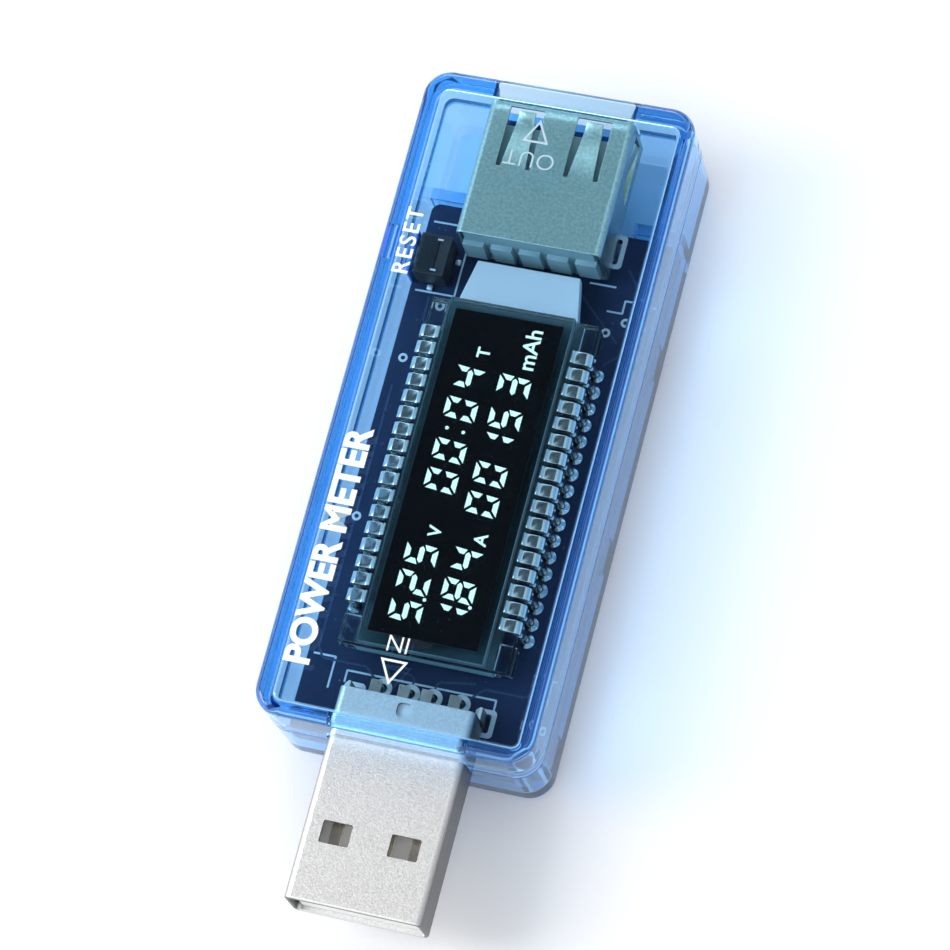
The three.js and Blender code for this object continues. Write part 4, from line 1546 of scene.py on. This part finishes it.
    def build(self) -> None:
        """Builds the board and what is printed and plated on it."""
        plate = Blank.from_node("board_plate", "circuit_board")
        plate.settle(MASK.material(), "board", replaces=["circuit_board"])
        layers = (
            ("board_tracks", self.track_lines, self.track, self.copper, self.corners[0], MASK_TRACK),
            ("board_printing", self.ink_lines, self.ink_line, self.ink, self.corners[1], BOARD_INK),
        )
        for name, lines, width, height, corner, finish in layers:
            layer = tracks(name, lines, self.board.high.z, width, height, corner, finish.material())
            layer.settle(finish.material(), "board")
        self.solder()
        self.plated_holes()
        self.frame_pads()


# ---- Plug -----------------------------------------------------------------------------------


def sheet_tube(name: str, span: Span, low: float, radius: float, wall: float, nose: float) -> Blank:
    """A rounded rectangular tube of sheet metal along Y.

    Args:
        name: the piece's name.
        span: a box with the tube's width and ends.
        low: the height of its underside.
        radius: its outer corner radius.
        wall: its sheet's thickness.
        nose: the radius that its -Y end is rounded to.

    Returns:
        The tube.
    """
    half_x, half_z = span.size.x / 2, (span.high.z - low) / 2
    centre = low + half_z
    start, end = span.low.y, span.high.y
    turns = [i * math.pi / 12 for i in range(7)]
    tip = [(nose * (1 - math.cos(t)), start + nose * (1 - math.sin(t))) for t in turns]
    soft = 0.04
    profile = [(soft, end), (0, end - soft), *tip, (wall, start + wall * 0.4), (wall, end)]
    rings = []
    for inset, y in profile:
        outline = rounded_outline(half_x - inset, half_z - inset, radius - inset, 7)
        rings.append([(x, y, z + centre) for x, z in outline])
    return loft(name, rings, caps=False)


def punch(half_x: float, half_y: float, radius: float, place: Point2, low: float, high: float) -> Blank:
    """A cutter with round corners that runs down through a sheet."""
    outline = [(x + place[0], y + place[1]) for x, y in rounded_outline(half_x, half_y, radius, 4)]
    return slab("punch", outline, low, high)


def shell_legs(span: Span, leg: Point3, start: float, low: float) -> list[Blank]:
    """The two legs that hold a connector's shell in the board.

    Args:
        span: the shell's box.
        leg: a leg's thickness, its width, and how far it climbs the shell.
        start: where its width starts along Y.
        low: the height of the shell's underside.

    Returns:
        The legs, with their edges rounded.
    """
    thickness, width, rise = leg
    legs = []
    for side in Side:
        x = side.value * (span.high.x - thickness / 2)
        foot, top = (x - thickness / 2, start, span.low.z), (x + thickness / 2, start + width, low + rise)
        legs.append(block("leg", foot, top).bevel(MOULDED_EDGE))
    return legs


@dataclass
class Plug:
    """The plug: its shell, the insulator and the contacts."""

    radius: float = 0.7
    wall: float = 0.3
    nose: float = 0.22
    latch: Point2 = (2.6, 1.95)
    latch_x: float = 3
    latch_from_tip: float = 5.16
    latch_round: float = 0.18
    key: float = 1.25
    key_round: float = 0.4
    key_from_tail: float = 1.1
    leg: Point3 = (0.3, 1.6, 2.2)
    tail: float = -18.4
    seam_width: float = 0.07
    seam_depth: float = 0.1

    def shell(self) -> Blank:
        """The pressed shell, with its latch windows, key hole, legs and seam."""
        span, low = Span.of("plug_shell"), Span.of("circuit_board").high.z
        rear = Vector((span.high.x, self.tail, span.high.z))
        tube = sheet_tube("plug_sheet", Span(span.low, rear), low, self.radius, self.wall, self.nose)
        width, length = self.latch
        y, top = span.low.y + self.latch_from_tip + length / 2, span.high.z + 1
        for side in Side:
            place = (side.value * self.latch_x, y)
            tube.cut(punch(width / 2, length / 2, self.latch_round, place, low - 1, top))
        place = (0, self.tail - self.key_from_tail)
        tube.cut(punch(self.key / 2, self.key / 2, self.key_round, place, span.high.z - 1, top))
        seam = self.seam_width / 2
        corners = (-seam, span.low.y - 1, low - 1), (seam, self.tail + 1, low + self.seam_depth)
        tube.cut(block("seam", *corners)).bevel(PRESSED_EDGE, 2, SHEET_ANGLE)
        return tube.gather(*shell_legs(span, self.leg, span.high.y - self.leg[1], low))

    def build(self) -> None:
        """Builds the plug."""
        nickel, nodes = PLUG_NICKEL_PAINTED_SHADE.material(), ["plug_shell"]
        self.shell().settle(nickel, "connector_steel", replaces=nodes, smooth=SHEET_SMOOTH)
        tongue = Blank.from_node("plug_tongue", "plug_insulator").bevel(0.06, 2)
        tongue.settle(WHITE_PLASTIC.material(), "connector_plastic", replaces=["plug_insulator"])
        contacts("plug_blades", "plug_contact_")


def contacts(name: str, prefix: str) -> None:
    """Refines the four contacts of a connector as one piece."""
    nodes = [f"{prefix}{i}" for i in range(1, 5)]
    blades = [Blank.from_node("blade", node).bevel(0.04, 2) for node in nodes]
    whole = Blank(name, [], []).gather(*blades)
    whole.settle(GOLD.material(), "contact_gold", replaces=nodes)


# ---- Receptacle -----------------------------------------------------------------------------


@dataclass
class Receptacle:
    """The receptacle: its shell with spring tongues, the insulator and the contacts."""

    radius: float = 0.6
    wall: float = 0.3
    nose: float = 0.1
    window: Point2 = (3.1, 5.7)
    window_x: float = 3.05
    root: float = 6.0
    bend_from_mouth: float = 1.5
    tip_from_mouth: float = 0.5
    dip: float = 0.32
    tip_dip: float = 0.1
    widths: Point2 = (2.3, 1.45)
    leg: Point3 = (0.3, 2.0, 0.9)
    leg_from_rear: float = 2.8
    side_window: Point3 = (5.6, 2.3, 0.5)
    side_tongue: Point2 = (1.6, 0.28)
    side_ends: Point2 = (0.6, 0.2)  # how far a side tongue starts before its window and ends past it
    side_taper: float = 0.3
    side_sheet: float = 0.9  # a side tongue's thickness against the wall's
    tongue_steps: tuple[int, int] = (12, 6)
    notch: Point3 = (4.25, 1.8, 0.35)  # half its width, its length and its height, under the rear end

    def __post_init__(self) -> None:
        """Takes the shell's place from the frame."""
        self.span = Span.of("receptacle_shell")
        self.low = Span.of("circuit_board").high.z

    def tongue(self, x: float, level: float, facing: int) -> Blank:
        """A spring tongue that dips into the mouth and turns up again at its tip."""
        long_steps, tip_steps = self.tongue_steps
        mouth, half = self.span.high.y, self.wall / 2
        root, bend, tip = mouth - self.root, mouth - self.bend_from_mouth, mouth - self.tip_from_mouth
        path, widths = [(root - 1, level - facing * half)], [self.widths[0]]
        for i in range(long_steps + 1):
            share = i / long_steps
            smooth = share * share * (3 - 2 * share)
            path.append((root + (bend - root) * share, level - facing * (half + self.dip * smooth)))
        for i in range(1, tip_steps + 1):
            share = i / tip_steps
            dip = self.dip + (self.tip_dip - self.dip) * share**1.6
            path.append((bend + (tip - bend) * share, level - facing * (half + dip)))
        for y, _ in path[1:]:
            share = (y - root) / (tip - root)
            widths.append(self.widths[0] + (self.widths[1] - self.widths[0]) * share)
        return strip("tongue", path, widths, self.wall).bevel(STRIP_EDGE, 2, SHEET_ANGLE).move(x)

    def side_spring(self, side: Side) -> Blank:
        """A spring tongue in a side wall."""
        length, _, front = self.side_window
        width, dip = self.side_tongue
        mouth = self.span.high.y
        before, past = self.side_ends
        steps = [i / self.tongue_steps[0] for i in range(self.tongue_steps[0] + 1)]
        start = mouth - front - length - before
        path = [(start + (length + past) * t, -dip * math.sin(math.pi * t) ** 2) for t in steps]
        widths = [width * (1 - self.side_taper * t) for t in steps]
        piece = strip("side_tongue", path, widths, self.wall * self.side_sheet)
        quarter = Matrix.Rotation(math.radians(90 * side.value), 4, "Y")
        x, z = side.value * (self.span.high.x - self.wall / 2), (self.low + self.span.high.z) / 2
        piece.obj.data.transform(Matrix.Translation((x, 0, z)) @ quarter)
        return piece.bevel(STRIP_EDGE, 2, SHEET_ANGLE)

    def shell(self) -> Blank:
        """The pressed shell."""
        span, top = self.span, self.span.high.z
        tube = sheet_tube("socket_sheet", span, self.low, self.radius, self.wall, self.nose)
        width, length = self.window
        y = span.high.y - self.root + length / 2
        for side in Side:
            place = (side.value * self.window_x, y)
            tube.cut(punch(width / 2, length / 2, 0.12, place, self.low - 1, top + 1))
        half, reach, rise = self.notch
        low = (-half, span.low.y - 1, self.low - 1)
        notch = block("notch", low, (half, span.low.y + reach, self.low + rise))
        length, height, front = self.side_window
        centre = (self.low + top) / 2
        start = span.high.y - front - length
        low = (span.low.x - 1, start, centre - height / 2)
        high = (span.high.x + 1, start + length, centre + height / 2)
        tube.cut(notch, block("side_window", low, high)).bevel(PRESSED_EDGE, 2, SHEET_ANGLE)
        parts = [self.side_spring(side) for side in Side]
        for side in Side:
            x = side.value * self.window_x
            parts += [self.tongue(x, top, 1), self.tongue(x, self.low, -1)]
        start = span.low.y + self.leg_from_rear - self.leg[1] / 2
        return tube.gather(*parts, *shell_legs(span, self.leg, start, self.low))

    def build(self) -> None:
        """Builds the receptacle."""
        nickel, nodes = SOCKET_NICKEL_PAINTED_SHADE.material(), ["receptacle_shell"]
        self.shell().settle(nickel, "connector_steel", replaces=nodes, smooth=SHEET_SMOOTH)
        tongue = Blank.from_node("socket_tongue", "receptacle_insulator").bevel(0.12, 2)
        tongue.settle(TEAL_PLASTIC.material(), "connector_plastic", replaces=["receptacle_insulator"])
        contacts("socket_blades", "receptacle_contact_")


# ---- Reset key ------------------------------------------------------------------------------


@dataclass
class ResetKey:
    """The reset button, and the switch behind it."""

    cap: Point2 = (3.0, 1.6)
    cover: float = 0.14
    tab: Point3 = (0.5, 0.5, 0.35)
    tabs: tuple[Point2, ...] = ((-9.1, 23.85), (-8.9, 19.35), (-7.0, 22.1))
    pin: Point3 = (0.5, 0.16, 0.1)
    pins: tuple[Point2, ...] = ((-8.35, 22.95), (-8.35, 20.1))
    cover_edge: float = 0.25

    def stud(self, name: str, place: Point2, size: Point3, level: float) -> Blank:
        """A block about a place, that stands on a level."""
        (x, y), (width, length, rise) = place, size
        low = (x - width / 2, y - length / 2, level)
        return block(name, low, (x + width / 2, y + length / 2, level + rise))

    def build(self) -> None:
        """Builds the button, its plunger and the switch."""
        for name, node, edge, finish, slot in (
            ("reset_cap", "reset_button", (0.14, 3), BUTTON, "button_plastic"),
            ("switch_plunger", "reset_switch_plunger", (0.1, 2), WHITE_PLASTIC, "connector_plastic"),
        ):
            piece = Blank.from_node(name, node).bevel(*edge)
            piece.settle(finish.material(), slot, Body.RESET_KEY, [node])
        node = "reset_switch_body"
        body = Blank.from_node("switch_body", node).bevel(MOULDED_EDGE)
        body.settle(CHIP.material(), "chip_black", replaces=[node])
        span, edge = Span.of(node), self.cover_edge
        low = (span.low.x + edge, span.low.y + edge, span.high.z - 0.02)
        high = (span.high.x - edge * 4, span.high.y - edge, span.high.z + self.cover)
        cover = block("switch_cover", low, high).bevel(PRESSED_EDGE)
        board = Span.of("circuit_board").high.z
        tabs = [self.stud("tab", place, self.tab, board).bevel(MOULDED_EDGE) for place in self.tabs]
        cover.settle(SEAL.material(), "chip_black")
        tabs += [self.stud("pin", place, self.pin, span.high.z + self.cover - 0.02) for place in self.pins]
        tabs[0].gather(*tabs[1:]).settle(PLATED.material(), "tinned_lead")


# ---- Underside ------------------------------------------------------------------------------


@dataclass
class Underside:
    """The chips under the board, with their leads, and rows of small parts."""

    lead: Point2 = (0.3, 0.12)
    lead_out: float = 0.85
    gull_bends: tuple[float, ...] = (0.25, 0.4, 0.5, 0.62, 1)  # shares of a lead's reach
    gull_over: Point2 = (0.06, 0.1)  # how far the bends swing past the straight parts
    lead_rows: tuple[tuple[str, Side, int, float, str], ...] = (
        ("controller_chip", Side.LEFT, 8, 0.8, "x"),
        ("controller_chip", Side.LEFT, 8, 0.8, "y"),
        ("controller_chip", Side.RIGHT, 8, 0.8, "x"),
        ("controller_chip", Side.RIGHT, 8, 0.8, "y"),
        ("memory_chip", Side.LEFT, 4, 1.27, "y"),
        ("memory_chip", Side.RIGHT, 4, 1.27, "y"),
        ("voltage_regulator", Side.LEFT, 3, 1.5, "x"),
    )
    passive: Point3 = (1.6, 0.8, 0.6)
    passive_rows: tuple[tuple[float, float, int, float], ...] = (
        (6.4, -8.0, 5, 1.9),
        (-6.6, -2.0, 6, 1.9),
        (-5.2, 20.5, 2, 2.0),
        (7.2, 6.0, 3, 2.1),
    )  # place, count and pitch
    cap: Point3 = (0.35, 0.03, 0.02)  # how far an end cap reaches in, out and past the sides
    passive_chance: Point2 = (2, 0.03)  # the turn, in degrees, and the spread of size left to chance

    def gull_row(self, node: str, side: Side, count: int, pitch: float, along: str) -> Blank:
        """A row of gull-wing leads along one side of a chip."""
        span, board = Span.of(node), Span.of("circuit_board")
        foot, middle = board.low.z - self.lead[1] / 2, span.centre.z
        reach = self.lead_out
        heights = (middle, middle + self.gull_over[0], foot - self.gull_over[1], foot, foot)
        bends = zip(self.gull_bends, heights, strict=True)
        path = [(-0.1, middle), *((reach * share, height) for share, height in bends)]
        blank = strip("gull", path, [self.lead[0]] * len(path), self.lead[1])
        half = pitch * (count - 1) / 2
        if along == "x":
            blank.move(turn=0 if side is Side.RIGHT else 180)
            row(blank, count, (pitch, 0, 0), TIN.material())
            edge = span.high.y if side is Side.RIGHT else span.low.y
            return blank.move(span.centre.x - half, edge)
        blank.move(turn=-90 * side.value)
        row(blank, count, (0, pitch, 0), TIN.material())
        edge = span.high.x if side is Side.RIGHT else span.low.x
        return blank.move(edge, span.centre.y - half)

    def passives(self) -> None:
        """Rows of small ceramic parts with tinned ends."""
        board = Span.of("circuit_board").low.z
        length, width, height = self.passive
        inward, outward, past = self.cap
        bodies, ends = [], []
        for index, (x, y, count, pitch) in enumerate(self.passive_rows):
            low, high = (-length / 2, -width / 2, -height), (length / 2, width / 2, 0)
            body = block("body", low, high).bevel(PRESSED_EDGE)
            row(body, count, (0, pitch, 0), CERAMIC.material(), *self.passive_chance, index)
            bodies.append(body.move(x, y, board))
            caps = []
            for side in Side:
                ends_x = (length / 2 - inward, length / 2 + outward)
                near, far = sorted(side.value * x_end for x_end in ends_x)
                low = (near, -width / 2 - past, -height - past)
                caps.append(block("cap", low, (far, width / 2 + past, 0)).bevel(0.07))
            cap = caps[0].gather(caps[1])
            row(cap, count, (0, pitch, 0), SOLDER.material(), *self.passive_chance, index)
            ends.append(cap.move(x, y, board))
        Blank("ceramic_parts", [], []).gather(*bodies).settle(CERAMIC.material(), "chip_black")
        Blank("ceramic_part_ends", [], []).gather(*ends).settle(SOLDER.material(), "tinned_lead")

    def build(self) -> None:
        """Builds the chips and the small parts."""
        for node in ("controller_chip", "memory_chip", "voltage_regulator", "shunt_resistor"):
            finish = RESISTOR if node == "shunt_resistor" else CHIP
            body = Blank.from_node(node + "_package", node).bevel(0.1, 2)
            body.settle(finish.material(), "chip_black", replaces=[node])
        parts = [self.gull_row(*leads) for leads in self.lead_rows]
        Blank("chip_leads", [], []).gather(*parts).settle(TIN.material(), "tinned_lead")
        self.passives()


def main() -> None:
    """Builds every sub-assembly."""
    logging.basicConfig(level=logging.INFO, format="%(message)s")
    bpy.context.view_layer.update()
    parts = (Studio, Housing, Legends, Display, CircuitBoard, Plug, Receptacle, ResetKey, Underside)
    for part in parts:
        part().build()
        log.info("built %s", part.__name__)


if __name__ == "__main__":
    main()
